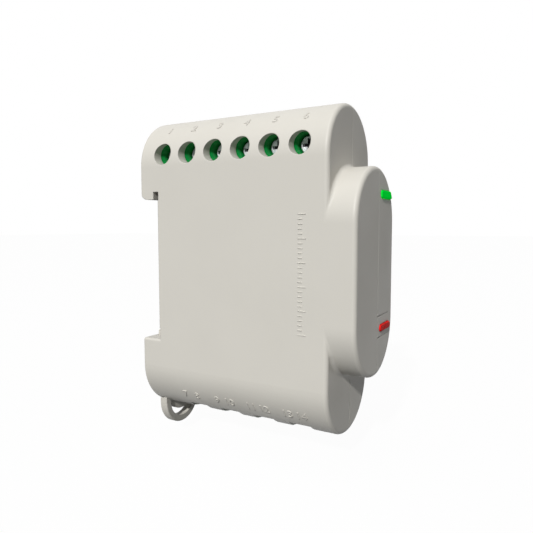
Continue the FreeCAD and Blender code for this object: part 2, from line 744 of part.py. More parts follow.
def sensor_terminal(index):
    y = sensor_y(index)
    half = SENSOR_WIDTH / 2
    body = joined(
        box(SENSOR_NEAR_X, SENSOR_FAR_X, y - half, y + half, SENSOR_FACE_Z, SENSOR_TOP_Z),
        box(SENSOR_NEAR_X, BLOCK_REAR_X, y - half, y + half, SENSOR_SHOULDER_Z, SENSOR_TOP_Z))
    cuts = []
    for offset in contact_offsets():
        yc = y + offset
        wide = CHAMBER_WIDTH / 2
        slot = STRIP_WIDTH / 2 + SENSOR_GAP
        cuts.append(rod_z(WIRE_HOLE_RADIUS, SENSOR_FACE_Z - PAST, CHAMBER_FLOOR_Z + PAST, WIRE_HOLE_X, yc))
        cuts.append(box(RELEASE_X - RELEASE_LENGTH / 2, RELEASE_X + RELEASE_LENGTH / 2,
                        yc - RELEASE_WIDTH / 2, yc + RELEASE_WIDTH / 2,
                        SENSOR_FACE_Z - PAST, SENSOR_FACE_Z + RELEASE_DEPTH))
        cuts.append(box(WIRE_HOLE_X - WIRE_HOLE_RADIUS - SENSOR_GAP, CHAMBER_FAR_X, yc - wide, yc + wide,
                        CHAMBER_FLOOR_Z, CHAMBER_ROOF_Z))
        cuts.append(box(0, FAR, yc - slot, yc + slot,
                        strip_top_z() - STRIP - SENSOR_GAP, CHAMBER_ROOF_Z))
    return body.cut(cuts)


def sensor_contacts():
    """Leaf spring and board leg of each measuring contact, bent from one strip."""
    contacts = []
    top = strip_top_z()
    back_x = CHAMBER_FAR_X - SENSOR_GAP
    low = CHAMBER_FLOOR_Z + SENSOR_GAP * 2
    slope = (TONGUE_TIP_Z - low) / (TONGUE_TIP_X - back_x)
    thick = STRIP * math.sqrt(1 + slope * slope)
    for i in range(SENSORS):
        for offset in contact_offsets():
            y0 = sensor_y(i) + offset - STRIP_WIDTH / 2
            outline = [
                V(LEG_END_X, y0, top),
                V(back_x - STRIP, y0, top),
                V(back_x - STRIP, y0, low + thick),
                V(TONGUE_TIP_X, y0, TONGUE_TIP_Z + thick),
                V(TONGUE_TIP_X, y0, TONGUE_TIP_Z),
                V(back_x, y0, low),
                V(back_x, y0, top - STRIP),
                V(LEG_END_X, y0, top - STRIP),
            ]
            contacts.append(prism(outline, V(0, STRIP_WIDTH, 0)))
    return Part.makeCompound(contacts)


# Boards and what stands on them

def main_board():
    rear, ear = SEAT_WALL_Y - BOARD_EDGE_GAP, pole_y(0) + POLE_PITCH / 2 - BOARD_EDGE_GAP
    front, nose = INNER_FRONT_Y + BOARD_EDGE_GAP * 2, INNER_NOSE_Y + BOARD_NOSE_GAP
    top, notch, step = BOARD_HALF_HEIGHT, HOOK_CEILING_Z + WALL + BOARD_EDGE_GAP, BOARD_NOSE_HALF_HEIGHT
    places = [
        (rear, -top), (rear, notch), (ear, notch), (ear, top), (front, top),
        (front, step), (nose, step), (nose, -step), (front, -step), (front, -top),
    ]
    board = prism([V(BOARD_X, y, z) for y, z in places], V(BOARD, 0, 0))
    cuts = []
    leg = LEG_WIDTH / 2 + BOARD_HOLE_GAP
    for i in range(POLES):
        cuts.append(box(BOARD_X - PAST, BOARD_REAR_X + PAST, pole_y(i) - leg, pole_y(i) + leg,
                        LEG_Z - BOARD_HOLE_GAP, LEG_Z + BAR_THICKNESS + BOARD_HOLE_GAP))
    strip = STRIP_WIDTH / 2 + BOARD_HOLE_GAP
    for i in range(SENSORS):
        for offset in contact_offsets():
            yc = sensor_y(i) + offset
            cuts.append(box(BOARD_X - PAST, BOARD_REAR_X + PAST, yc - strip, yc + strip,
                            strip_top_z() - STRIP - BOARD_HOLE_GAP, strip_top_z() + BOARD_HOLE_GAP))
    for y, z in STANDOFF_PLACES:
        cuts.append(rod_x(LOCATING_PIN_RADIUS + BOARD_HOLE_GAP, BOARD_X - PAST, BOARD_REAR_X + PAST, y, z))
    return board.cut(cuts)


def board_chip(y, z, width, height, thickness, legs, x_board, out):
    """Moulded chip with a row of legs on its upper and lower sides, out of the board's face."""
    x0, x1 = sorted((x_board + out * SHEET / 2, x_board + out * thickness))
    body = box(x0, x1, y - width / 2, y + width / 2, z - height / 2, z + height / 2)
    pieces = []
    step = width / (legs + 1)
    foot0, foot1 = sorted((x_board, x_board + out * CHIP_LEG_THICKNESS))
    top = x_board + out * thickness / 2
    rise0, rise1 = sorted((x_board, top))
    top0, top1 = sorted((top - out * CHIP_LEG_THICKNESS, top))
    for end in (-1, 1):
        side = z + end * height / 2
        far = side + end * CHIP_LEG_REACH
        knee = side + end * CHIP_LEG_REACH / 2
        root = side - end * CHIP_LEG_THICKNESS
        for i in range(legs):
            y0 = y - width / 2 + step * (i + 1) - CHIP_LEG_WIDTH / 2
            y1 = y0 + CHIP_LEG_WIDTH
            pieces.append(box(foot0, foot1, y0, y1, min(knee, far), max(knee, far)))
            pieces.append(box(rise0, rise1, y0, y1, min(knee, knee - end * CHIP_LEG_THICKNESS),
                              max(knee, knee - end * CHIP_LEG_THICKNESS)))
            pieces.append(box(top0, top1, y0, y1, min(root, knee), max(root, knee)))
    return joined(body, *pieces)


def metering_chip():
    return board_chip(METER_CHIP_Y, METER_CHIP_Z, METER_CHIP_SIZE, METER_CHIP_SIZE, CHIP_THICKNESS,
                      CHIP_LEGS, BOARD_X, -1)


def bridge_rectifier():
    y = module_rear_y() - RECTIFIER_HEADER_GAP
    return board_chip(y, RECTIFIER_Z, RECTIFIER_WIDTH, RECTIFIER_HEIGHT, CHIP_THICKNESS,
                      RECTIFIER_LEGS, BOARD_X, -1)


def measuring_resistors():
    half_width, half_length = CHIP_RESISTOR_WIDTH / 2, CHIP_RESISTOR_LENGTH / 2
    chips = []
    for i in range(SENSORS):
        for offset in contact_offsets():
            y = sensor_y(i) + offset
            chips.append(box(BOARD_X - CHIP_RESISTOR_THICKNESS, BOARD_X, y - half_width, y + half_width,
                             CHIP_RESISTOR_Z - half_length, CHIP_RESISTOR_Z + half_length))
    return Part.makeCompound(chips)


def core_box():
    """Corners of the transformer's core: x, then y, then z."""
    x1 = BOARD_X - CORE_LIFT
    half = CORE_THICKNESS / 2
    return (x1 - CORE_WIDTH, x1, TRANSFORMER_Y - half, TRANSFORMER_Y + half,
            TRANSFORMER_Z - CORE_LENGTH / 2, TRANSFORMER_Z + CORE_LENGTH / 2)


def middle_leg(gap):
    """The core's middle leg is twice as wide as an outer one."""
    x0, x1, y0, y1, z0, z1 = core_box()
    middle = (x0 + x1) / 2
    return box(middle - CORE_LEG - gap, middle + CORE_LEG + gap, y0 - gap, y1 + gap, z0, z1)


def transformer_core():
    x0, x1, y0, y1, z0, z1 = core_box()
    hollow = box(x0 + CORE_LEG, x1 - CORE_LEG, y0 - 1, y1 + 1, z0 + CORE_YOKE, z1 - CORE_YOKE)
    return joined(box(*core_box()).cut(hollow), middle_leg(0))


def bobbin_tube(outer):
    x0, x1, y0, y1, z0, z1 = core_box()
    tall = CORE_LENGTH / 2 - CORE_YOKE - BLOCK_GAP
    middle = (x0 + x1) / 2
    wide = CORE_LEG + BLOCK_GAP + BOBBIN_WALL + outer
    deep = CORE_THICKNESS / 2 + BLOCK_GAP + BOBBIN_WALL + outer
    return box(middle - wide, middle + wide, TRANSFORMER_Y - deep, TRANSFORMER_Y + deep,
               TRANSFORMER_Z - tall, TRANSFORMER_Z + tall)


def transformer_bobbin():
    x0, x1, y0, y1, z0, z1 = core_box()
    tall = CORE_LENGTH / 2 - CORE_YOKE - BLOCK_GAP
    half = BOBBIN_WIDTH / 2
    pieces = []
    for end in (-1, 1):
        za, zb = sorted((TRANSFORMER_Z + end * tall, TRANSFORMER_Z + end * (tall - BOBBIN_FLANGE)))
        plate = box(x0 + CORE_LEG + BLOCK_GAP, BOARD_X - BOBBIN_FOOT / 2, TRANSFORMER_Y - half,
                    TRANSFORMER_Y + half, za, zb)
        pieces.append(plate)
    foot = box(BOARD_X - BOBBIN_FOOT, BOARD_X, TRANSFORMER_Y - half, TRANSFORMER_Y + half, z0, z1)
    pieces.append(foot)
    whole = joined(bobbin_tube(0), *pieces)
    far_leg = box(x1 - CORE_LEG - BLOCK_GAP, x1 + BLOCK_GAP, y0 - BLOCK_GAP, y1 + BLOCK_GAP, z0, z1)
    return whole.cut([middle_leg(BLOCK_GAP), far_leg])


def transformer_winding():
    x0, x1, y0, y1, z0, z1 = core_box()
    tall = CORE_LENGTH / 2 - CORE_YOKE - BLOCK_GAP * 2 - BOBBIN_FLANGE
    half = BOBBIN_WIDTH / 2 - WINDING_INSET
    coil = box(x0 + CORE_LEG + BLOCK_GAP, x1 - CORE_LEG - BLOCK_GAP,
               TRANSFORMER_Y - half, TRANSFORMER_Y + half, TRANSFORMER_Z - tall, TRANSFORMER_Z + tall)
    corners = [e for e in coil.Edges if runs_along(e, V(0, 0, 1))]
    coil = coil.makeFillet(WINDING_INSET * 2, corners)
    return coil.cut(bobbin_tube(SEAT_GAP))


def can(radius, height, y, z):
    """Electrolytic capacitor standing on the main board, with its crimp."""
    body = rod_x(radius, BOARD_X - height, BOARD_X, y, z)
    top = edges_where(body, lambda p: near(p.x, BOARD_X - height))
    body = body.makeFillet(CAN_ROUND, top)
    middle = V(BOARD_X - CAN_CRIMP_X, y, z)
    crimp = Part.makeTorus(radius + CAN_CRIMP_RADIUS / 2, CAN_CRIMP_RADIUS, middle, V(1, 0, 0))
    return body.cut(crimp)


def varistors():
    """Discs that stand on edge below the screw terminals."""
    discs = []
    x = BOARD_X - VARISTOR_LIFT - VARISTOR_RADIUS
    for i in range(VARISTORS):
        y = pole_y(i + 1) + POLE_PITCH / 2
        disc = rod_y(VARISTOR_RADIUS, y - VARISTOR_THICKNESS / 2, y + VARISTOR_THICKNESS / 2, x, VARISTOR_Z)
        disc = disc.makeFillet(VARISTOR_THICKNESS / 4, edges_where(disc, lambda p: not near(p.y, y)))
        legs = []
        for end in (-1, 1):
            z = VARISTOR_Z + end * VARISTOR_LEAD_Z
            legs.append(rod_x(LEAD_RADIUS, x + VARISTOR_LEAD_Z / 2, BOARD_X, y, z))
        discs.append(joined(disc, *legs))
    return Part.makeCompound(discs)


def bent_lead(x, y, z, end):
    """Wire that leaves a resistor's end, turns and goes down to the board."""
    far = z + end * (FUSE_LENGTH / 2 + FUSE_LEAD_REACH)
    bend = V(x, y, far)
    start = V(x, y, z + end * FUSE_LENGTH / 4)
    before = V(x, y, far - end * FUSE_BEND)
    after = V(x + FUSE_BEND, y, far)
    centre = V(x + FUSE_BEND, y, far - end * FUSE_BEND)
    middle = centre + (bend - centre).normalize() * FUSE_BEND
    path = Part.Wire([
        Part.LineSegment(start, before).toShape(),
        Part.Arc(before, middle, after).toShape(),
        Part.LineSegment(after, V(BOARD_X, y, far)).toShape(),
    ])
    section = Part.Wire([Part.Circle(start, V(0, 0, 1), LEAD_RADIUS).toShape()])
    return path.makePipeShell([section], True, False)


def fusible_resistors():
    parts = []
    x = BOARD_X - FUSE_LIFT - FUSE_RADIUS
    for i in range(FUSES):
        y = FUSE_FIRST_Y - FUSE_PITCH * i
        body = rod_z(FUSE_RADIUS, FUSE_Z - FUSE_LENGTH / 2, FUSE_Z + FUSE_LENGTH / 2, x, y)
        body = body.makeFillet(FUSE_RADIUS / 3, edges_where(body, lambda p: not near(p.z, FUSE_Z)))
        parts.append(joined(body, bent_lead(x, y, FUSE_Z, -1), bent_lead(x, y, FUSE_Z, 1)))
    return Part.makeCompound(parts)


def choke_core():
    x0 = BOARD_X - CHOKE_HEIGHT
    return joined(
        rod_x(CHOKE_RADIUS, x0, x0 + CHOKE_FLANGE, CHOKE_Y, CHOKE_Z),
        rod_x(CHOKE_STEM_RADIUS, x0, BOARD_X, CHOKE_Y, CHOKE_Z),
        rod_x(CHOKE_RADIUS, BOARD_X - CHOKE_FLANGE, BOARD_X, CHOKE_Y, CHOKE_Z))


def choke_winding():
    x0, x1 = BOARD_X - CHOKE_HEIGHT + CHOKE_FLANGE, BOARD_X - CHOKE_FLANGE
    coil = rod_x(CHOKE_RADIUS - 2 * LEAD_RADIUS, x0, x1, CHOKE_Y, CHOKE_Z)
    return coil.cut(rod_x(CHOKE_STEM_RADIUS + SEAT_GAP, x0 - 1, x1 + 1, CHOKE_Y, CHOKE_Z))


# Radio module on its own board

def module_rear_y():
    return INNER_FRONT_Y + BOARD_EDGE_GAP * 3 + MODULE_LENGTH


def radio_board():
    rear = module_rear_y()
    return box(MODULE_X, MODULE_X + MODULE_BOARD, rear - MODULE_LENGTH, rear,
               MODULE_Z - MODULE_HEIGHT / 2, MODULE_Z + MODULE_HEIGHT / 2)


def board_header():
    """Pin row that carries the radio board on the main board."""
    y = module_rear_y() - HEADER_WIDTH / 2
    half = HEADER_PINS * HEADER_PITCH / 2
    strips = []
    for x in (BOARD_X - HEADER_BASE, MODULE_X + MODULE_BOARD):
        strips.append(box(x, x + HEADER_BASE, y - HEADER_WIDTH / 2, y + HEADER_WIDTH / 2,
                          MODULE_Z - half, MODULE_Z + half))
    pins = []
    for i in range(HEADER_PINS):
        z = MODULE_Z - half + HEADER_PITCH * (i + 0.5)
        pins.append(box(MODULE_X + MODULE_BOARD + HEADER_SEAT, BOARD_X - HEADER_SEAT,
                        y - PIN_WIDTH / 2, y + PIN_WIDTH / 2, z - PIN_WIDTH / 2, z + PIN_WIDTH / 2))
    return joined(strips[0], strips[1], *pins)


def shield_middle():
    z = MODULE_Z - MODULE_HEIGHT / 2 + SHIELD_EDGE_GAP + SHIELD_HEIGHT / 2
    return module_rear_y() - MODULE_LENGTH / 2, z


def radio_shield():
    y, z = shield_middle()
    outer = box(MODULE_X - SHIELD_DEPTH, MODULE_X, y - SHIELD_LENGTH / 2, y + SHIELD_LENGTH / 2,
                z - SHIELD_HEIGHT / 2, z + SHIELD_HEIGHT / 2)
    corners = edges_where(outer, lambda p: not near(p.x, MODULE_X))
    outer = outer.makeFillet(SHIELD_ROUND, corners)
    inner = box(MODULE_X - SHIELD_DEPTH + SHEET, MODULE_X + PAST, y - SHIELD_LENGTH / 2 + SHEET,
                y + SHIELD_LENGTH / 2 - SHEET, z - SHIELD_HEIGHT / 2 + SHEET, z + SHIELD_HEIGHT / 2 - SHEET)
    return outer.cut(inner)


def processor():
    y, z = shield_middle()
    half = PROCESSOR_SIZE / 2
    return box(MODULE_X - PROCESSOR_THICKNESS, MODULE_X, y - half, y + half, z - half, z + half)


def crystal():
    y, z = shield_middle()
    x = MODULE_X + MODULE_BOARD
    can_box = box(x, x + CRYSTAL_THICKNESS, y - CRYSTAL_WIDTH / 2, y + CRYSTAL_WIDTH / 2,
                  z - CRYSTAL_LENGTH / 2, z + CRYSTAL_LENGTH / 2)
    return can_box.makeFillet(SHEET, edges_where(can_box, lambda p: near(p.x, x + CRYSTAL_THICKNESS)))


# Light bar and button

def led_face_y():
    return INNER_NOSE_Y + BOARD_NOSE_GAP + SWITCH_EDGE_GAP


def status_led():
    face = led_face_y()
    half = LED_WIDTH / 2
    proud = LED_LENS_RADIUS / 2
    body = box(BOARD_X - LED_HEIGHT, BOARD_X, face, face + LED_DEPTH, LED_Z - half, LED_Z + half)
    lens = rod_y(LED_LENS_RADIUS, face - proud, face + proud, BOARD_X - LED_HEIGHT / 2, LED_Z)
    return joined(body, lens)


def light_pipe():
    """Bar in the front wall, its flange behind the wall and the stem that reaches down to the lamp."""
    front = front_y(WINDOW_X) - RAISED
    back = INNER_NOSE_Y + FLANGE_THICKNESS
    bar = pill(LIGHT_LENGTH, LIGHT_HEIGHT, LIGHT_CORNER, front, back, WINDOW_X, LIGHT_Z)
    bar = bar.common(stadium(HALF_WIDTH - LIGHT_RIM, -FAR * 2, FAR, NOSE_END_Z))
    bar = bar.makeFillet(BUTTON_FACE_ROUND, edges_where(bar, lambda p: near(p.y, front)))
    grow = 2 * FLANGE_WIDTH
    flange = pill(LIGHT_LENGTH + grow, LIGHT_HEIGHT + grow, LIGHT_CORNER + FLANGE_WIDTH, INNER_NOSE_Y,
                  back, WINDOW_X, LIGHT_Z)
    flange = flange.common(stadium(INNER_RADIUS - BLOCK_GAP, -FAR * 2, FAR, NOSE_END_Z))
    half = PIPE_STEM_WIDTH / 2
    x = BOARD_X - LED_HEIGHT / 2
    stem = box(x - half, x + half, INNER_NOSE_Y, led_face_y() - LED_LENS_RADIUS / 2 - PIPE_GAP,
               LED_Z - half, LIGHT_Z + LIGHT_HEIGHT / 2)
    return joined(bar, flange, stem)


def plunger_tip_y():
    return led_face_y() - PLUNGER_PROUD


def switch_x():
    return BOARD_X - SWITCH_HEIGHT / 2


def reset_button():
    """Oval cap with a flange that keeps it behind the wall, and its stem."""
    front = front_y(WINDOW_X) - RAISED
    cap = pill(BUTTON_LENGTH, BUTTON_HEIGHT, BUTTON_HEIGHT / 2, front, INNER_NOSE_Y + FLANGE_THICKNESS,
               WINDOW_X, BUTTON_Z)
    cap = cap.makeFillet(BUTTON_FACE_ROUND, edges_where(cap, lambda p: near(p.y, front)))
    grow = 2 * FLANGE_WIDTH
    flange = pill(BUTTON_LENGTH + grow, BUTTON_HEIGHT + grow, BUTTON_HEIGHT / 2 + FLANGE_WIDTH,
                  INNER_NOSE_Y, INNER_NOSE_Y + FLANGE_THICKNESS, WINDOW_X, BUTTON_Z)
    flange = flange.common(stadium(INNER_RADIUS - BLOCK_GAP, -FAR * 2, FAR, NOSE_END_Z))
    stem_y = INNER_NOSE_Y + FLANGE_THICKNESS / 2
    stem = rod_y(BUTTON_STEM_RADIUS, stem_y, plunger_tip_y(), switch_x(), BUTTON_Z)
    return joined(cap, flange, stem)


def button_switch():
    face = led_face_y()
    half = SWITCH_SIZE / 2
    top_x = BOARD_X - SWITCH_HEIGHT
    body = box(top_x, BOARD_X, face, face + SWITCH_DEPTH, BUTTON_Z - half, BUTTON_Z + half)
    depth = PLUNGER_DEPTH + BUTTON_TRAVEL + PIPE_GAP
    return body.cut(rod_y(PLUNGER_RADIUS + PLUNGER_GAP, face - PAST, face + depth, switch_x(), BUTTON_Z))


def switch_plunger():
    return rod_y(PLUNGER_RADIUS, plunger_tip_y(), led_face_y() + PLUNGER_DEPTH, switch_x(), BUTTON_Z)


# Rail clip

def clip_rear_y():
    return RAIL_DEPTH - CLIP_REAR_GAP


def rail_clip():
    rear = clip_rear_y()
    front = rear - CLIP_THICKNESS
    wing_back = front + WING_THICKNESS
    loop = joined(
        rod_y(CLIP_HALF_WIDTH, front, rear, 0, LOOP_CENTRE_Z),
        box(-CLIP_HALF_WIDTH, CLIP_HALF_WIDTH, front, rear, LOOP_CENTRE_Z, LOOP_CENTRE_Z + CLIP_HALF_WIDTH))
    loop = loop.makeFillet(LOOP_EDGE_ROUND, edges_where(loop, lambda p: p.z < LOOP_CENTRE_Z + TOUCH and (
        near(p.y, front) or near(p.y, rear)) and not near(p.z, LOOP_CENTRE_Z + CLIP_HALF_WIDTH)))
    loop = loop.cut(rod_y(HALF_WIDTH + CLIP_GAP, front - PAST, rear + PAST, 0, -END_Z))
    catch = prism(
        [V(-CATCH_HALF_WIDTH, FLANGE_GROOVE, CATCH_BOTTOM_Z),
         V(-CATCH_HALF_WIDTH, FLANGE_GROOVE, CATCH_TOP_Z),
         V(-CATCH_HALF_WIDTH, FLANGE_GROOVE + CATCH_DEPTH - CATCH_RAMP, CATCH_TOP_Z),
         V(-CATCH_HALF_WIDTH, FLANGE_GROOVE + CATCH_DEPTH, CATCH_TOP_Z - CATCH_RAMP),
         V(-CATCH_HALF_WIDTH, FLANGE_GROOVE + CATCH_DEPTH, CATCH_BOTTOM_Z)],
        V(2 * CATCH_HALF_WIDTH, 0, 0))
    lug_half = SPRING_COIL_RADIUS + SPRING_WIRE / 2
    pieces = [
        box(-CLIP_HALF_WIDTH, CLIP_HALF_WIDTH, front, wing_back, LOOP_CENTRE_Z, CATCH_BOTTOM_Z),
        box(-SHANK_HALF_WIDTH, SHANK_HALF_WIDTH, front, rear, LOOP_CENTRE_Z, STEP_Z - CLIP_GAP),
        catch,
        box(-lug_half, lug_half, spring_y() - lug_half, front + WING_THICKNESS / 2,
            SPRING_HEAD_Z, SPRING_HEAD_Z + LUG_THICKNESS),
    ]
    whole = joined(loop, *pieces)
    hole = rod_y(LOOP_HOLE_RADIUS, front - PAST, rear + PAST, 0, LOOP_CENTRE_Z)
    web = rod_y(WEB_RADIUS, front + WEB_RECESS, rear + PAST * 2, 0, WEB_CENTRE_Z)
    return whole.cut(hole.cut(web))


def bisected(start, start_direction, end, end_direction):
    """Two arcs that leave start and reach end along the given directions."""
    chord = end - start
    total = start_direction + end_direction
    spread = 2 * (1 - start_direction.dot(end_direction))
    along = chord.dot(total)
    reach = (-along + math.sqrt(along * along + spread * chord.dot(chord))) / spread
    first, second = start + start_direction * reach, end - end_direction * reach
    joint = (first + second) * 0.5
    return [arc_by_corner(start, first, joint), arc_by_corner(joint, second, end)]


def arc_by_corner(start, corner, end):
    """Arc that touches both lines of a corner at equal distance from it."""
    chord_middle = (start + end) * 0.5
    to_middle = chord_middle - corner
    side = (start - corner).Length
    half_cos = to_middle.Length / side
    half_sin = math.sqrt(1 - half_cos * half_cos)
    middle = corner + to_middle.normalize() * (side * (1 - half_sin) / half_cos)
    return Part.Arc(start, middle, end).toShape()


def clip_spring():
    """Coil that pushes the clip up, one unbroken wire of quarter-turn pieces."""
    foot = SPRING_FOOT_Z + SPRING_WIRE / 2
    height = SPRING_HEAD_Z - SPRING_WIRE / 2 - foot
    rise = height / (2 * math.pi * SPRING_TURNS)
    slope = math.hypot(SPRING_COIL_RADIUS, rise)

    def point(angle):
        return V(SPRING_COIL_RADIUS * math.cos(angle), spring_y() + SPRING_COIL_RADIUS * math.sin(angle),
                 foot + rise * angle)

    def direction(angle):
        across = V(-math.sin(angle), math.cos(angle), 0) * SPRING_COIL_RADIUS
        return (across + V(0, 0, rise)) * (1 / slope)

    edges = []
    quarter = math.pi / 2
    for i in range(SPRING_TURNS * 4):
        a, b = i * quarter, (i + 1) * quarter
        edges += bisected(point(a), direction(a), point(b), direction(b))
    path = Part.Wire(edges)
    section = Part.Wire([Part.Circle(point(0), direction(0), SPRING_WIRE / 2).toShape()])
    coil = Part.Wire(path).makePipeShell([section], True, False)
    gap = height / SPRING_TURNS - SPRING_WIRE
    print("spring: least gap between turns", round(gap, 3))
    return coil


def export(name, shape):
    solids = [s.removeSplitter() for s in shape.Solids]
    for solid in solids:
        if not solid.isValid() or solid.Volume <= 0:
            raise ValueError(name + " has a bad solid")
    whole = solids[0] if len(solids) == 1 else Part.makeCompound(solids)
    whole.exportStep("parts/" + name + ".step")
    print(name, len(solids), round(whole.Volume, 2))


export("left_shell", left_shell())
export("right_shell", right_shell())
export("screw_terminal_block", screw_terminal_block())
export("contact_bars", contact_bars())
for pole in range(POLES):
    export("terminal_screw_%d" % (pole + 1), terminal_screw(pole))
    export("clamp_cage_%d" % (pole + 1), clamp_cage(pole))
for sensor in range(SENSORS):
    export("sensor_terminal_%d" % (sensor + 1), sensor_terminal(sensor))
export("sensor_contacts", sensor_contacts())
export("main_board", main_board())
export("radio_board", radio_board())
export("board_header", board_header())
export("radio_shield", radio_shield())
export("processor", processor())
export("crystal", crystal())
export("transformer_core", transformer_core())
export("transformer_bobbin", transformer_bobbin())
export("transformer_winding", transformer_winding())
export("mains_capacitor", can(MAINS_CAN_RADIUS, MAINS_CAN_HEIGHT, MAINS_CAN_Y, MAINS_CAN_Z))
export("output_capacitor", can(OUTPUT_CAN_RADIUS, OUTPUT_CAN_HEIGHT, OUTPUT_CAN_Y, OUTPUT_CAN_Z))
export("varistors", varistors())
export("fusible_resistors", fusible_resistors())
export("choke_core", choke_core())
export("choke_winding", choke_winding())
export("bridge_rectifier", bridge_rectifier())
export("metering_chip", metering_chip())
export("measuring_resistors", measuring_resistors())
export("status_led", status_led())
export("light_pipe", light_pipe())
export("reset_button", reset_button())
export("button_switch", button_switch())
export("switch_plunger", switch_plunger())
export("rail_clip", rail_clip())
export("clip_spring", clip_spring())
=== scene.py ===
"""Looks of a slim energy meter that clips onto a mounting rail."""

import logging
import math
from collections.abc import Iterable
from dataclasses import dataclass
from enum import Enum

import bpy
from mathutils import Matrix, Vector

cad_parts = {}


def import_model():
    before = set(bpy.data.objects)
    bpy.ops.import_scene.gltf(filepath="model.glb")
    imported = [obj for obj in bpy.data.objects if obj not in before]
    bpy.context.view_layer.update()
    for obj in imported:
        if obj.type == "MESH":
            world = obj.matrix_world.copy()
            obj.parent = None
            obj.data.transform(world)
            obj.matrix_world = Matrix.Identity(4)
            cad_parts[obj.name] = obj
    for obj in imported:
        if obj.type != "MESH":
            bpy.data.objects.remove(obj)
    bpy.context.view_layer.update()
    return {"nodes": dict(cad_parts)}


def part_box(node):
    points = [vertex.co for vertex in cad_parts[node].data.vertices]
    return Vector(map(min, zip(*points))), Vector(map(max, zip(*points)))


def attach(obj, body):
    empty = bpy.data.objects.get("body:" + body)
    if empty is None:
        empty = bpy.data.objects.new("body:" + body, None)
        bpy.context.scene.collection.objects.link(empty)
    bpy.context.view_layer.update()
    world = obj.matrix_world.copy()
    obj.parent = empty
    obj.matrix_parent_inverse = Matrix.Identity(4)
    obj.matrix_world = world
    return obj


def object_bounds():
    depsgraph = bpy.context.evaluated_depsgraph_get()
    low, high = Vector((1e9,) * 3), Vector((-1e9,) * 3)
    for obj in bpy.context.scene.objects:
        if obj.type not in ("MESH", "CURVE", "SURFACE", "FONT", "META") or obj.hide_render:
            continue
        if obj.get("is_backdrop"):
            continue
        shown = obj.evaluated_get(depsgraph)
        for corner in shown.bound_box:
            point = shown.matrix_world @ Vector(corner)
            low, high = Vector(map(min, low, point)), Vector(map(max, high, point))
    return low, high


MM = 0.001
PICTURE_SIDE = 533
FINE_DETAIL = 3.0
PATCH_DETAIL = 4.0
DUST_DETAIL = 5.0
EVEN_SPOTS = (0.3, 0.7)
WHITE = (1.0, 1.0, 1.0, 1.0)
POLES = 6
FIRST_POLE_Y = -1.4
POLE_PITCH = 7.24
LOG = logging.getLogger("meter")

Colour = tuple[float, float, float, float]
Feed = bpy.types.NodeSocket | float | int | tuple


def rgb(red: int, green: int, blue: int) -> Colour:
    """Turns a screen colour into the shader's linear one.

    Args:
        red: red, 0 to 255.
        green: green, 0 to 255.
        blue: blue, 0 to 255.

    Returns:
        The linear colour with a full alpha.
    """
    def linear(value: int) -> float:
        """Linear value of one screen channel."""
        v = value / 255
        return v / 12.92 if v <= 0.04045 else ((v + 0.055) / 1.055) ** 2.4

    return linear(red), linear(green), linear(blue), 1.0


def pole_y(pole: int) -> float:
    """Place of a screw terminal along the casing, in millimetres; the first is 0."""
    return FIRST_POLE_Y - POLE_PITCH * pole


def add_object(name: str, data: bpy.types.ID) -> bpy.types.Object:
    """Adds an object to the scene.

    Args:
        name: the object's name.
        data: its mesh, lamp or camera.

    Returns:
        The new object.
    """
    made = bpy.data.objects.new(name, data)
    bpy.context.scene.collection.objects.link(made)
    return made


class Axis(Enum):
    """One direction of the model's frame, by its place in a coordinate."""

    X = 0
    Y = 1
    Z = 2


class Space(Enum):
    """Where a finish's pattern is measured from."""

    METRES = "Object"
    SHARE_OF_BOX = "Generated"


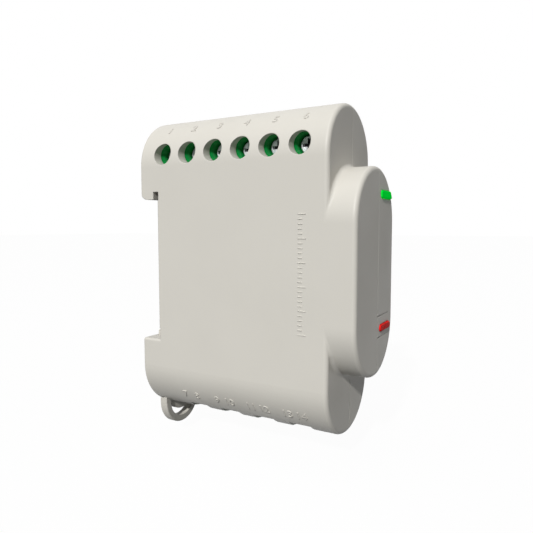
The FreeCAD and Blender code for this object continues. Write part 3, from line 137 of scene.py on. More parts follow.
class Graph:
    """One node tree, with short ways to add and join its nodes."""

    def __init__(self, tree: bpy.types.NodeTree) -> None:
        """Keeps the tree that nodes are added to."""
        self.tree = tree

    def feed(self, socket: bpy.types.NodeSocket, value: Feed) -> None:
        """Joins a socket to the input, or sets the input's plain value.

        Args:
            socket: the input.
            value: an output socket or a plain value.
        """
        if isinstance(value, bpy.types.NodeSocket):
            self.tree.links.new(value, socket)
        else:
            socket.default_value = value

    def add(self, kind: str, inputs: dict[str, Feed] | None = None, **settings: object) -> bpy.types.Node:
        """Adds one node.

        Args:
            kind: the node's type.
            inputs: sockets or values for its inputs, by name.
            settings: its plain properties.

        Returns:
            The new node.
        """
        node = self.tree.nodes.new(kind)
        for name, value in settings.items():
            setattr(node, name, value)
        for name, value in (inputs or {}).items():
            self.feed(node.inputs[name], value)
        return node

    def find(self, kind: str) -> bpy.types.Node:
        """First node of a type that the tree already has."""
        return next(n for n in self.tree.nodes if n.type == kind)

    def place(self, space: Space = Space.METRES) -> bpy.types.NodeSocket:
        """Coordinates of the point that is shaded."""
        return self.add("ShaderNodeTexCoord").outputs[space.value]

    def along(self, axis: Axis, space: Space = Space.METRES) -> bpy.types.NodeSocket:
        """One coordinate of the point that is shaded."""
        return self.add("ShaderNodeSeparateXYZ", {"Vector": self.place(space)}).outputs[axis.value]

    def sum(self, operation: str, first: Feed, second: Feed = 0.0,
            clamp: bool = False) -> bpy.types.NodeSocket:
        """Works out one value from two.

        Args:
            operation: name of the math node's operation.
            first: the first value.
            second: the second value, where the operation has one.
            clamp: whether the result is kept between 0 and 1.

        Returns:
            The result's socket.
        """
        node = self.add("ShaderNodeMath", operation=operation, use_clamp=clamp)
        self.feed(node.inputs[0], first)
        self.feed(node.inputs[1], second)
        return node.outputs[0]

    def span(self, value: Feed, low: float, high: float, start: float = 0.0,
             end: float = 1.0) -> bpy.types.NodeSocket:
        """Stretches a value from one range to another and stops at its ends.

        Args:
            value: the value.
            low: where the result is start.
            high: where the result is end.
            start: the result at low.
            end: the result at high.

        Returns:
            The result's socket.
        """
        node = self.add("ShaderNodeMapRange", clamp=True)
        for socket, given in zip(node.inputs, (value, low, high, start, end)):
            self.feed(socket, given)
        return node.outputs[0]

    def blend(self, share: Feed, first: Feed, second: Feed) -> bpy.types.NodeSocket:
        """Mixes two colours.

        Args:
            share: how much of the second colour, 0 to 1.
            first: the first colour.
            second: the second colour.

        Returns:
            The mixed colour's socket.
        """
        node = self.add("ShaderNodeMix", data_type="RGBA")
        colour_a, colour_b = [s for s in node.inputs if s.type == "RGBA"]
        self.feed(node.inputs[0], share)
        self.feed(colour_a, first)
        self.feed(colour_b, second)
        return next(s for s in node.outputs if s.type == "RGBA")

    def length(self, first: Feed, second: Feed) -> bpy.types.NodeSocket:
        """Length of a line from its two square parts."""
        squares = self.sum("ADD", self.sum("MULTIPLY", first, first), self.sum("MULTIPLY", second, second))
        return self.sum("SQRT", squares)

    def noise(self, scale: Feed, detail: float,
              stretch: tuple[float, float, float] | None = None) -> bpy.types.NodeSocket:
        """Soft noise over the model.

        Args:
            scale: how many spots to a metre.
            detail: how many finer layers it has.
            stretch: how far each axis is drawn out, or None.

        Returns:
            The noise's value socket.
        """
        where = self.place()
        if stretch:
            where = self.add("ShaderNodeMapping", {"Vector": where, "Scale": stretch}).outputs[0]
        return self.add("ShaderNodeTexNoise", {"Vector": where, "Scale": scale, "Detail": detail}).outputs[0]

    def group(self, tree: bpy.types.NodeTree, **inputs: Feed) -> bpy.types.Node:
        """Places a shared effect and feeds its named inputs."""
        node = self.add("ShaderNodeGroup", node_tree=tree)
        for name, value in inputs.items():
            self.feed(node.inputs[name.replace("_", " ")], value)
        return node

    def bump(self, height: Feed, depth: float, normal: Feed | None = None) -> bpy.types.NodeSocket:
        """Turns a height into a normal.

        Args:
            height: the height, 0 to 1.
            depth: how far 1 stands up, in metres.
            normal: the normal that it starts from, if any.

        Returns:
            The normal's socket.
        """
        node = self.add("ShaderNodeBump", {"Height": height, "Distance": depth, "Strength": 1.0})
        if normal is not None:
            self.feed(node.inputs["Normal"], normal)
        return node.outputs[0]


class SharedEffects:
    """Shader groups that several finishes use, each built once."""

    BEVEL_SAMPLES = 6
    EDGE_TURN = (0.995, 0.8)
    DUST_SPOTS = (0.42, 0.68)
    DUST_SLOPE = (0.35, 1.0)
    LINE_STRETCH = (1.0, 1.0, 0.06)
    STREAKS = (0.2, 0.8)

    def __init__(self) -> None:
        """Builds the groups."""
        self.soft_edges = self._soft_edges()
        self.moulded_grain = self._moulded_grain()
        self.settled_dust = self._settled_dust()
        self.brushed_lines = self._brushed_lines()

    @staticmethod
    def _open(name: str, inputs: dict[str, float],
              outputs: dict[str, str]) -> tuple[Graph, bpy.types.Node, bpy.types.Node]:
        """Starts a group with its sockets.

        Args:
            name: the group's name.
            inputs: its number inputs with their first values.
            outputs: its outputs with their socket types.

        Returns:
            The group's graph, its input node and its output node.
        """
        tree = bpy.data.node_groups.new(name, "ShaderNodeTree")
        for label, value in inputs.items():
            socket = tree.interface.new_socket(name=label, in_out="INPUT", socket_type="NodeSocketFloat")
            socket.default_value = value
        for label, kind in outputs.items():
            tree.interface.new_socket(name=label, in_out="OUTPUT", socket_type=kind)
        graph = Graph(tree)
        return graph, graph.add("NodeGroupInput"), graph.add("NodeGroupOutput")

    def _soft_edges(self) -> bpy.types.NodeTree:
        """Rounded normals at edges, and a mask of the edges."""
        graph, given, made = self._open(
            "soft_edges", {"Radius": 0.0002}, {"Normal": "NodeSocketVector", "Edge": "NodeSocketFloat"})
        bevel = graph.add("ShaderNodeBevel", {"Radius": given.outputs["Radius"]}, samples=self.BEVEL_SAMPLES)
        flat = graph.add("ShaderNodeNewGeometry").outputs["Normal"]
        turned = graph.add("ShaderNodeVectorMath", operation="DOT_PRODUCT")
        graph.feed(turned.inputs[0], bevel.outputs[0])
        graph.feed(turned.inputs[1], flat)
        graph.feed(made.inputs["Normal"], bevel.outputs[0])
        graph.feed(made.inputs["Edge"], graph.span(turned.outputs["Value"], *self.EDGE_TURN))
        return graph.tree

    def _moulded_grain(self) -> bpy.types.NodeTree:
        """Fine spark-eroded grain and the slow mottling of moulded plastic."""
        graph, given, made = self._open(
            "moulded_grain", {"Scale": 3000.0, "Mottle Scale": 90.0},
            {"Height": "NodeSocketFloat", "Mottle": "NodeSocketFloat"})
        fine = graph.noise(given.outputs["Scale"], FINE_DETAIL)
        slow = graph.noise(given.outputs["Mottle Scale"], PATCH_DETAIL)
        graph.feed(made.inputs["Height"], graph.span(fine, *EVEN_SPOTS))
        graph.feed(made.inputs["Mottle"], graph.span(slow, *EVEN_SPOTS))
        return graph.tree

    def _settled_dust(self) -> bpy.types.NodeTree:
        """Mask of the thin dust on what faces up."""
        graph, given, made = self._open(
            "settled_dust", {"Amount": 0.1, "Scale": 400.0}, {"Mask": "NodeSocketFloat"})
        normal = graph.add("ShaderNodeNewGeometry").outputs["Normal"]
        up = graph.add("ShaderNodeSeparateXYZ", {"Vector": normal}).outputs[Axis.Z.value]
        patches = graph.span(graph.noise(given.outputs["Scale"], DUST_DETAIL), *self.DUST_SPOTS)
        lying = graph.sum("MULTIPLY", graph.span(up, *self.DUST_SLOPE), patches)
        graph.feed(made.inputs["Mask"], graph.sum("MULTIPLY", lying, given.outputs["Amount"], clamp=True))
        return graph.tree

    def _brushed_lines(self) -> bpy.types.NodeTree:
        """Fine lines of rolled or brushed sheet, along the model's Z."""
        graph, given, made = self._open(
            "brushed_lines", {"Scale": 2500.0}, {"Height": "NodeSocketFloat", "Streak": "NodeSocketFloat"})
        lines = graph.noise(given.outputs["Scale"], FINE_DETAIL, stretch=self.LINE_STRETCH)
        graph.feed(made.inputs["Height"], graph.span(lines, *EVEN_SPOTS))
        graph.feed(made.inputs["Streak"], graph.span(lines, *self.STREAKS))
        return graph.tree


@dataclass(frozen=True)
class Finish:
    """What every finish has: a name, a base colour and the shader's plain values."""

    name: str
    colour: Colour
    roughness: float = 0.5
    metallic: float = 0.0
    gloss: float = 0.5
    coat: float = 0.0
    edge_radius: float = 0.15 * MM

    def build(self, effects: SharedEffects) -> bpy.types.Material:
        """Makes the material.

        Args:
            effects: the shared shader groups.

        Returns:
            The material.
        """
        material = bpy.data.materials.new(self.name)
        material.use_nodes = True
        material.diffuse_color = self.colour
        graph = Graph(material.node_tree)
        shader = graph.find("BSDF_PRINCIPLED")
        shader.inputs["Base Color"].default_value = self.colour
        shader.inputs["Roughness"].default_value = self.roughness
        shader.inputs["Metallic"].default_value = self.metallic
        shader.inputs["Specular IOR Level"].default_value = self.gloss
        shader.inputs["Coat Weight"].default_value = self.coat
        self.paint(graph, shader, effects)
        return material

    def paint(self, graph: Graph, shader: bpy.types.Node, effects: SharedEffects) -> None:
        """Adds what varies over the surface; each finish has its own."""
        raise NotImplementedError


@dataclass(frozen=True)
class MouldedPlastic(Finish):
    """Injection-moulded plastic: fine grain, slow mottling, paler edges and a little dust; the paler edges
    are a painted highlight with a little rubbed wear.
    """

    mottle: Colour = (0.0, 0.0, 0.0, 1.0)
    # Colour of the painted highlight along edges, with a little rubbed wear.
    edge: Colour = WHITE
    edge_share: float = 0.25
    grain_scale: float = 3200.0
    grain_depth: float = 0.006 * MM
    mottle_scale: float = 70.0
    mottle_share: float = 0.5
    sheen_swing: float = 0.05
    dust: float = 0.0
    dust_colour: Colour = rgb(172, 168, 158)

    def paint(self, graph: Graph, shader: bpy.types.Node, effects: SharedEffects) -> None:
        """Adds the grain, the mottling, the edges with their painted highlight and wear, and the dust."""
        edges = graph.group(effects.soft_edges, Radius=self.edge_radius)
        grain = graph.group(effects.moulded_grain, Scale=self.grain_scale, Mottle_Scale=self.mottle_scale)
        dust = graph.group(effects.settled_dust, Amount=self.dust)
        patch = graph.sum("MULTIPLY", grain.outputs["Mottle"], self.mottle_share)
        colour = graph.blend(patch, self.colour, self.mottle)
        # Painted highlight: edges, hollow and raised alike, are lightened towards the edge colour, with a
        # little rubbed wear.
        edge_wear_and_highlight = graph.sum("MULTIPLY", edges.outputs["Edge"], self.edge_share)
        colour = graph.blend(edge_wear_and_highlight, colour, self.edge)
        colour = graph.blend(dust.outputs["Mask"], colour, self.dust_colour)
        graph.feed(shader.inputs["Base Color"], colour)
        rough = graph.span(
            grain.outputs["Mottle"], 0.0, 1.0,
            self.roughness - self.sheen_swing, self.roughness + self.sheen_swing)
        graph.feed(shader.inputs["Roughness"], rough)
        normal = graph.bump(grain.outputs["Height"], self.grain_depth, edges.outputs["Normal"])
        graph.feed(shader.inputs["Normal"], normal)


@dataclass(frozen=True)
class RolledSheet(Finish):
    """Plated sheet metal: rolling lines, dull patches and brighter edges, the edges a painted highlight with
    a little rubbed wear.
    """

    dull: Colour = (0.2, 0.2, 0.2, 1.0)
    # Colour of the painted highlight along edges, with a little rubbed wear.
    edge: Colour = (0.9, 0.9, 0.9, 1.0)
    line_scale: float = 2500.0
    line_depth: float = 0.004 * MM
    patch_scale: float = 500.0
    patches: tuple[float, float] = (0.4, 0.75)
    edge_share: float = 0.5
    smoother: float = 0.08
    rougher: float = 0.12

    def paint(self, graph: Graph, shader: bpy.types.Node, effects: SharedEffects) -> None:
        """Adds the lines, the patches and the edges' painted highlight."""
        edges = graph.group(effects.soft_edges, Radius=self.edge_radius)
        lines = graph.group(effects.brushed_lines, Scale=self.line_scale)
        patches = graph.span(graph.noise(self.patch_scale, PATCH_DETAIL), *self.patches)
        colour = graph.blend(patches, self.colour, self.dull)
        # Painted highlight: edges are brightened towards the edge colour, with a little rubbed wear.
        edge_wear_and_highlight = graph.sum("MULTIPLY", edges.outputs["Edge"], self.edge_share)
        colour = graph.blend(edge_wear_and_highlight, colour, self.edge)
        graph.feed(shader.inputs["Base Color"], colour)
        streak = graph.span(
            lines.outputs["Streak"], 0.0, 1.0, self.roughness - self.smoother, self.roughness + self.rougher)
        graph.feed(shader.inputs["Roughness"], streak)
        normal = graph.bump(lines.outputs["Height"], self.line_depth, edges.outputs["Normal"])
        graph.feed(shader.inputs["Normal"], normal)


@dataclass(frozen=True)
class TurnedHead(Finish):
    """Plated screw: rings of a turned head round its own axis, with painted shade in the drive's cross."""

    centre_y: float = 0.0
    centre_z: float = 0.0
    face_x: float = 0.0
    ring_pitch: float = 0.09 * MM
    ring_depth: float = 0.005 * MM
    # Nearly black colour painted into the drive's cross as shade.
    hollow: Colour = (0.02, 0.02, 0.022, 1.0)
    hollow_depth: float = 0.5 * MM
    hollow_start: float = 0.0625 * MM
    hollow_radius: float = 1.5 * MM
    hollow_fade: float = 0.15 * MM
    dull: Colour = (0.2, 0.2, 0.2, 1.0)
    patch_scale: float = 900.0
    patches: tuple[float, float] = (0.4, 0.75)
    rougher: float = 0.2

    def paint(self, graph: Graph, shader: bpy.types.Node, effects: SharedEffects) -> None:
        """Adds the rings, the painted shade in the drive and the dull patches."""
        y = graph.sum("SUBTRACT", graph.along(Axis.Y), self.centre_y)
        z = graph.sum("SUBTRACT", graph.along(Axis.Z), self.centre_z)
        radius = graph.length(y, z)
        rings = graph.sum("SINE", graph.sum("MULTIPLY", radius, math.tau / self.ring_pitch))
        patches = graph.span(graph.noise(self.patch_scale, PATCH_DETAIL), *self.patches)
        colour = graph.blend(patches, self.colour, self.dull)
        # Painted shade: below the head's face and near its axis the drive's cross is coloured nearly black.
        deep = graph.span(
            graph.along(Axis.X), self.face_x + self.hollow_start, self.face_x + self.hollow_depth)
        near_axis = graph.span(radius, self.hollow_radius, self.hollow_radius - self.hollow_fade)
        colour = graph.blend(graph.sum("MULTIPLY", deep, near_axis), colour, self.hollow)
        graph.feed(shader.inputs["Base Color"], colour)
        rough = graph.span(patches, 0.0, 1.0, self.roughness, self.roughness + self.rougher)
        graph.feed(shader.inputs["Roughness"], rough)
        edges = graph.group(effects.soft_edges, Radius=self.edge_radius)
        graph.feed(shader.inputs["Normal"], graph.bump(rings, self.ring_depth, edges.outputs["Normal"]))


@dataclass(frozen=True)
class TintedLight(Finish):
    """Clear tinted plastic that carries a lamp's light, a little brighter in its middle."""

    glow: Colour = (0.0, 1.0, 0.0, 1.0)
    glow_strength: float = 0.3
    glow_share: float = 0.3
    centre: tuple[float, float] = (0.0, 0.0)
    reach: float = 4.0 * MM
    far_shine: float = 0.6
    grain_scale: float = 2000.0
    mottle_scale: float = 300.0
    grain_depth: float = 0.002 * MM

    def paint(self, graph: Graph, shader: bpy.types.Node, effects: SharedEffects) -> None:
        """Adds the glow that fades from the lamp and the moulded skin."""
        x = graph.sum("SUBTRACT", graph.along(Axis.X), self.centre[0])
        z = graph.sum("SUBTRACT", graph.along(Axis.Z), self.centre[1])
        far = graph.length(x, z)
        grain = graph.group(effects.moulded_grain, Scale=self.grain_scale, Mottle_Scale=self.mottle_scale)
        edges = graph.group(effects.soft_edges, Radius=self.edge_radius)
        shine = graph.span(far, 0.0, self.reach, 1.0, self.far_shine)
        patch = graph.sum("MULTIPLY", grain.outputs["Mottle"], self.glow_share)
        graph.feed(shader.inputs["Base Color"], graph.blend(patch, self.colour, self.glow))
        graph.feed(shader.inputs["Emission Color"], graph.blend(shine, self.colour, self.glow))
        shader.inputs["Emission Strength"].default_value = self.glow_strength
        normal = graph.bump(grain.outputs["Height"], self.grain_depth, edges.outputs["Normal"])
        graph.feed(shader.inputs["Normal"], normal)


@dataclass(frozen=True)
class SolderMask(Finish):
    """Circuit board: lacquer over copper tracks and areas, with bare pads and holes."""

    track: Colour = rgb(46, 130, 72)
    pad: Colour = rgb(196, 196, 190)
    cell: float = 2.2 * MM
    cell_length: float = 1.7
    cell_height: float = 0.8
    track_width: float = 0.22
    track_softness: float = 0.05
    pad_scale: float = 420.0
    pad_edge: tuple[float, float] = (0.2, 0.16)
    pad_metal: float = 0.9
    pad_roughness: float = 0.45
    relief: float = 0.03 * MM

    def paint(self, graph: Graph, shader: bpy.types.Node, effects: SharedEffects) -> None:
        """Adds the tracks, the pads and the lacquer's relief."""
        y = graph.sum("DIVIDE", graph.along(Axis.Y), self.cell)
        z = graph.sum("DIVIDE", graph.along(Axis.Z), self.cell)
        where = graph.add("ShaderNodeCombineXYZ", {"X": y, "Y": z}).outputs[0]
        brick = graph.add("ShaderNodeTexBrick", {
            "Vector": where, "Scale": 1.0, "Mortar Size": self.track_width / 2,
            "Mortar Smooth": self.track_softness, "Brick Width": self.cell_length,
            "Row Height": self.cell_height})
        tracks = graph.sum("SUBTRACT", 1.0, brick.outputs["Fac"], clamp=True)
        dots = graph.add(
            "ShaderNodeTexVoronoi", {"Vector": graph.place(), "Scale": self.pad_scale}, distance="CHEBYCHEV")
        pads = graph.span(dots.outputs["Distance"], *self.pad_edge)
        colour = graph.blend(tracks, self.track, self.colour)
        colour = graph.blend(pads, colour, self.pad)
        graph.feed(shader.inputs["Base Color"], colour)
        graph.feed(shader.inputs["Metallic"], graph.sum("MULTIPLY", pads, self.pad_metal))
        graph.feed(shader.inputs["Roughness"], graph.span(pads, 0.0, 1.0, self.roughness, self.pad_roughness))
        height = graph.sum("MAXIMUM", graph.sum("SUBTRACT", 1.0, tracks), pads)
        graph.feed(shader.inputs["Normal"], graph.bump(height, self.relief))


@dataclass(frozen=True)
class EndedPart(Finish):
    """A component with a coated body and tinned ends or legs beyond a share of its box."""

    axis: Axis = Axis.Z
    ends_from: float = 0.4
    both_ends: bool = True
    end: Colour = rgb(206, 207, 210)
    end_roughness: float = 0.32
    spot_scale: float = 900.0
    spot: Colour = (0.0, 0.0, 0.0, 1.0)
    spot_share: float = 0.35
    spots: tuple[float, float] = (0.35, 0.7)
    sheen_swing: float = 0.06
    border: float = 0.004
    relief: float = 0.02 * MM

    def paint(self, graph: Graph, shader: bpy.types.Node, effects: SharedEffects) -> None:
        """Adds the body's coat and the bare metal of the ends."""
        share = graph.along(self.axis, Space.SHARE_OF_BOX)
        if self.both_ends:
            share = graph.sum("ABSOLUTE", graph.sum("SUBTRACT", share, 0.5))
        bare = graph.span(share, self.ends_from, self.ends_from + self.border)
        spots = graph.span(graph.noise(self.spot_scale, PATCH_DETAIL), *self.spots)
        body = graph.blend(graph.sum("MULTIPLY", spots, self.spot_share), self.colour, self.spot)
        graph.feed(shader.inputs["Base Color"], graph.blend(bare, body, self.end))
        graph.feed(shader.inputs["Metallic"], bare)
        skin = graph.span(
            spots, 0.0, 1.0, self.roughness - self.sheen_swing, self.roughness + self.sheen_swing)
        rough = graph.add("ShaderNodeMix", data_type="FLOAT")
        graph.feed(rough.inputs[0], bare)
        graph.feed(rough.inputs[2], skin)
        graph.feed(rough.inputs[3], self.end_roughness)
        graph.feed(shader.inputs["Roughness"], rough.outputs[0])
        edges = graph.group(effects.soft_edges, Radius=self.edge_radius)
        graph.feed(shader.inputs["Normal"], graph.bump(spots, self.relief, edges.outputs["Normal"]))


@dataclass(frozen=True)
class WoundLayers(Finish):
    """A winding under tape, or bare wire: even turns along one axis, with small gaps painted darker as shade,
    and tone changes.
    """

    axis: Axis = Axis.Z
    turn: float = 0.5 * MM
    # Darker colour painted into the gaps between turns as shade.
    groove: Colour = (0.1, 0.05, 0.02, 1.0)
    relief: float = 0.06 * MM
    tone_scale: float = 500.0
    darkest_tone: float = 0.75
    groove_edge: tuple[float, float] = (0.1, 0.6)
    rougher: float = 0.12

    def paint(self, graph: Graph, shader: bpy.types.Node, effects: SharedEffects) -> None:
        """Adds the turns, the painted shade in the gaps between them, and their relief."""
        phase = graph.sum("MULTIPLY", graph.along(self.axis), math.tau / self.turn)
        wave = graph.sum("ABSOLUTE", graph.sum("SINE", graph.sum("MULTIPLY", phase, 0.5)))
        tone = graph.span(graph.noise(self.tone_scale, FINE_DETAIL), *EVEN_SPOTS, self.darkest_tone, 1.0)
        # Painted shade: the gaps between turns are blended towards the darker groove colour.
        turns = graph.sum("MULTIPLY", graph.span(wave, *self.groove_edge), tone)
        graph.feed(shader.inputs["Base Color"], graph.blend(turns, self.groove, self.colour))
        rough = graph.span(tone, self.darkest_tone, 1.0, self.roughness + self.rougher, self.roughness)
        graph.feed(shader.inputs["Roughness"], rough)
        graph.feed(shader.inputs["Normal"], graph.bump(wave, self.relief))


@dataclass(frozen=True)
class SleevedCan(Finish):
    """Capacitor: a printed shrink sleeve with a pale stripe, round an aluminium can with a bare top."""

    axis_y: float = 0.0
    axis_z: float = 0.0
    stripe: Colour = rgb(188, 190, 196)
    top: Colour = rgb(205, 207, 210)
    top_from: float = 0.03
    top_border: float = 0.01
    stripe_half_angle: float = 0.35
    stripe_border: float = 0.02
    spot_scale: float = 700.0
    spot_share: float = 0.15
    smoother: float = 0.05
    rougher: float = 0.08
    relief: float = 0.01 * MM

    def paint(self, graph: Graph, shader: bpy.types.Node, effects: SharedEffects) -> None:
        """Adds the stripe and the bare top."""
        y = graph.sum("SUBTRACT", graph.along(Axis.Y), self.axis_y)
        z = graph.sum("SUBTRACT", graph.along(Axis.Z), self.axis_z)
        angle = graph.sum("ABSOLUTE", graph.sum("ARCTAN2", z, y))
        side = graph.span(angle, self.stripe_half_angle + self.stripe_border, self.stripe_half_angle)
        height = graph.along(Axis.X, Space.SHARE_OF_BOX)
        bare = graph.span(height, self.top_from + self.top_border, self.top_from)
        spots = graph.span(graph.noise(self.spot_scale, FINE_DETAIL), *EVEN_SPOTS)
        body = graph.blend(side, self.colour, self.stripe)
        body = graph.blend(graph.sum("MULTIPLY", spots, self.spot_share), body, self.stripe)
        graph.feed(shader.inputs["Base Color"], graph.blend(bare, body, self.top))
        graph.feed(shader.inputs["Metallic"], bare)
        rough = graph.span(spots, 0.0, 1.0, self.roughness - self.smoother, self.roughness + self.rougher)
        graph.feed(shader.inputs["Roughness"], rough)
        edges = graph.group(effects.soft_edges, Radius=self.edge_radius)
        graph.feed(shader.inputs["Normal"], graph.bump(spots, self.relief, edges.outputs["Normal"]))


CASING_GREY = MouldedPlastic(
    "casing_grey", rgb(210, 207, 199), roughness=0.46, gloss=0.3,
    mottle=rgb(205, 202, 194), edge=rgb(222, 219, 211), edge_share=0.35,
    grain_depth=0.004 * MM, dust=0.06, edge_radius=0.3 * MM)
CLIP_GREY = MouldedPlastic(
    "clip_grey", rgb(206, 203, 195), roughness=0.5, gloss=0.3,
    mottle=rgb(198, 194, 185), edge=rgb(220, 217, 209), edge_share=0.4, edge_radius=0.15 * MM, dust=0.08)
TERMINAL_GREEN = MouldedPlastic(
    "terminal_green", rgb(16, 152, 70), roughness=0.42, gloss=0.3,
    mottle=rgb(18, 134, 62), edge=rgb(70, 180, 104), edge_share=0.5,
    grain_depth=0.003 * MM, edge_radius=0.12 * MM, mottle_scale=160.0)
BUTTON_RED = MouldedPlastic(
    "button_red", rgb(255, 40, 36), roughness=0.45, gloss=0.02,
    mottle=rgb(204, 14, 18), edge=rgb(236, 52, 50), edge_share=0.3,
    grain_depth=0.002 * MM, edge_radius=0.15 * MM, mottle_scale=420.0)
PLUNGER_WHITE = MouldedPlastic(
    "plunger_white", rgb(216, 214, 206), roughness=0.42, mottle=rgb(200, 197, 188), edge_share=0.3)
BOBBIN_BLACK = MouldedPlastic(
    "bobbin_black", rgb(34, 34, 36), roughness=0.42, mottle=rgb(26, 26, 28), edge=rgb(84, 84, 88),
    edge_share=0.5, mottle_scale=200.0)
HEADER_BLACK = EndedPart(
    "header_black", rgb(28, 28, 30), roughness=0.45, axis=Axis.X, ends_from=0.0, both_ends=False,
    end=rgb(212, 176, 92))
LIGHT_GREEN = TintedLight(
    "light_green", rgb(2, 196, 48), roughness=0.45, gloss=0.0, glow=rgb(0, 236, 60), glow_strength=0.4,
    centre=(5.85 * MM, 16.78 * MM))
LAMP_CLEAR = TintedLight(
    "lamp_clear", rgb(214, 220, 208), roughness=0.2, glow=rgb(150, 255, 160), glow_strength=0.35,
    centre=(9.0 * MM, 13.3 * MM), reach=1.5 * MM)
TINNED_COPPER = RolledSheet(
    "tinned_copper", rgb(206, 205, 198), roughness=0.34, metallic=1.0,
    dull=rgb(176, 172, 160), edge=rgb(226, 224, 216))
TINNED_STEEL = RolledSheet(
    "tinned_steel", rgb(198, 200, 202), roughness=0.3, metallic=1.0,
    dull=rgb(164, 167, 170), edge=rgb(228, 229, 230))
CAGE_STEEL = RolledSheet(
    "cage_steel", rgb(190, 192, 190), roughness=0.33, metallic=1.0,
    dull=rgb(160, 160, 150), edge=rgb(224, 225, 222), line_scale=1800.0)
SPRING_STEEL = RolledSheet(
    "spring_steel", rgb(176, 176, 174), roughness=0.3, metallic=1.0,
    dull=rgb(120, 118, 112), edge=rgb(206, 206, 204), patch_scale=1500.0)
BOARD_GREEN = SolderMask("board_green", rgb(20, 92, 48), roughness=0.3)
RADIO_BLUE = SolderMask(
    "radio_board", rgb(20, 46, 92), roughness=0.3, track=rgb(44, 82, 142), cell=1.4 * MM, pad_scale=800.0)
CHIP_BLACK = EndedPart("chip_black", rgb(30, 30, 32), roughness=0.52, spot=rgb(46, 46, 48), ends_from=0.4)
RECTIFIER_BLACK = EndedPart(
    "rectifier_black", rgb(32, 32, 34), roughness=0.5, spot=rgb(48, 48, 50), ends_from=0.345)
PROCESSOR_BLACK = EndedPart(
    "processor_black", rgb(26, 26, 28), roughness=0.5, spot=rgb(42, 42, 44), ends_from=0.49)
CRYSTAL_METAL = RolledSheet(
    "crystal_metal", rgb(204, 204, 198), roughness=0.22, metallic=1.0,
    dull=rgb(182, 180, 170), patch_scale=900.0)
CHIP_RESISTOR = EndedPart(
    "chip_resistor", rgb(26, 28, 36), roughness=0.4, axis=Axis.Y, ends_from=0.49, spot=rgb(60, 62, 70))
FUSE_GREEN = EndedPart(
    "fuse_green", rgb(96, 132, 110), roughness=0.45, ends_from=0.4, spot=rgb(72, 104, 86), spot_scale=600.0)
VARISTOR_BLUE = EndedPart(
    "varistor_blue", rgb(26, 70, 140), roughness=0.3, axis=Axis.X, ends_from=0.92, both_ends=False,
    spot=rgb(18, 52, 112), spot_scale=450.0, relief=0.05 * MM)
SWITCH_BODY = EndedPart("switch_body", rgb(40, 40, 42), roughness=0.4, spot=rgb(58, 58, 60), ends_from=0.47)
FERRITE_GREY = EndedPart(
    "ferrite_grey", rgb(58, 58, 62), roughness=0.55, spot=rgb(82, 82, 88), spot_scale=1400.0, ends_from=0.6)
WINDING_TAPE = WoundLayers(
    "winding_tape", rgb(220, 178, 52), roughness=0.35, axis=Axis.Z, turn=2.4 * MM, groove=rgb(176, 134, 30),
    relief=0.02 * MM)
COPPER_WIRE = WoundLayers(
    "copper_wire", rgb(196, 108, 62), roughness=0.28, metallic=1.0, axis=Axis.Z, turn=0.42 * MM,
    groove=rgb(96, 44, 24))


class Wardrobe:
    """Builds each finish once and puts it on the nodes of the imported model."""

    def __init__(self, nodes: dict[str, bpy.types.Object]) -> None:
        """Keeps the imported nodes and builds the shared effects."""
        self.nodes = nodes
        self.effects = SharedEffects()
        self.made: dict[str, bpy.types.Material] = {}

    def material(self, finish: Finish) -> bpy.types.Material:
        """The finish's material, built at its first use."""
        if finish.name not in self.made:
            self.made[finish.name] = finish.build(self.effects)
        return self.made[finish.name]

    def dress(self, finish: Finish, *names: str) -> None:
        """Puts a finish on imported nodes.

        Args:
            finish: the finish.
            names: the nodes' names.
        """
        for name in names:
            for slot in self.nodes[name].material_slots:
                slot.material = self.material(finish)
            LOG.info("%s wears %s", name, finish.name)


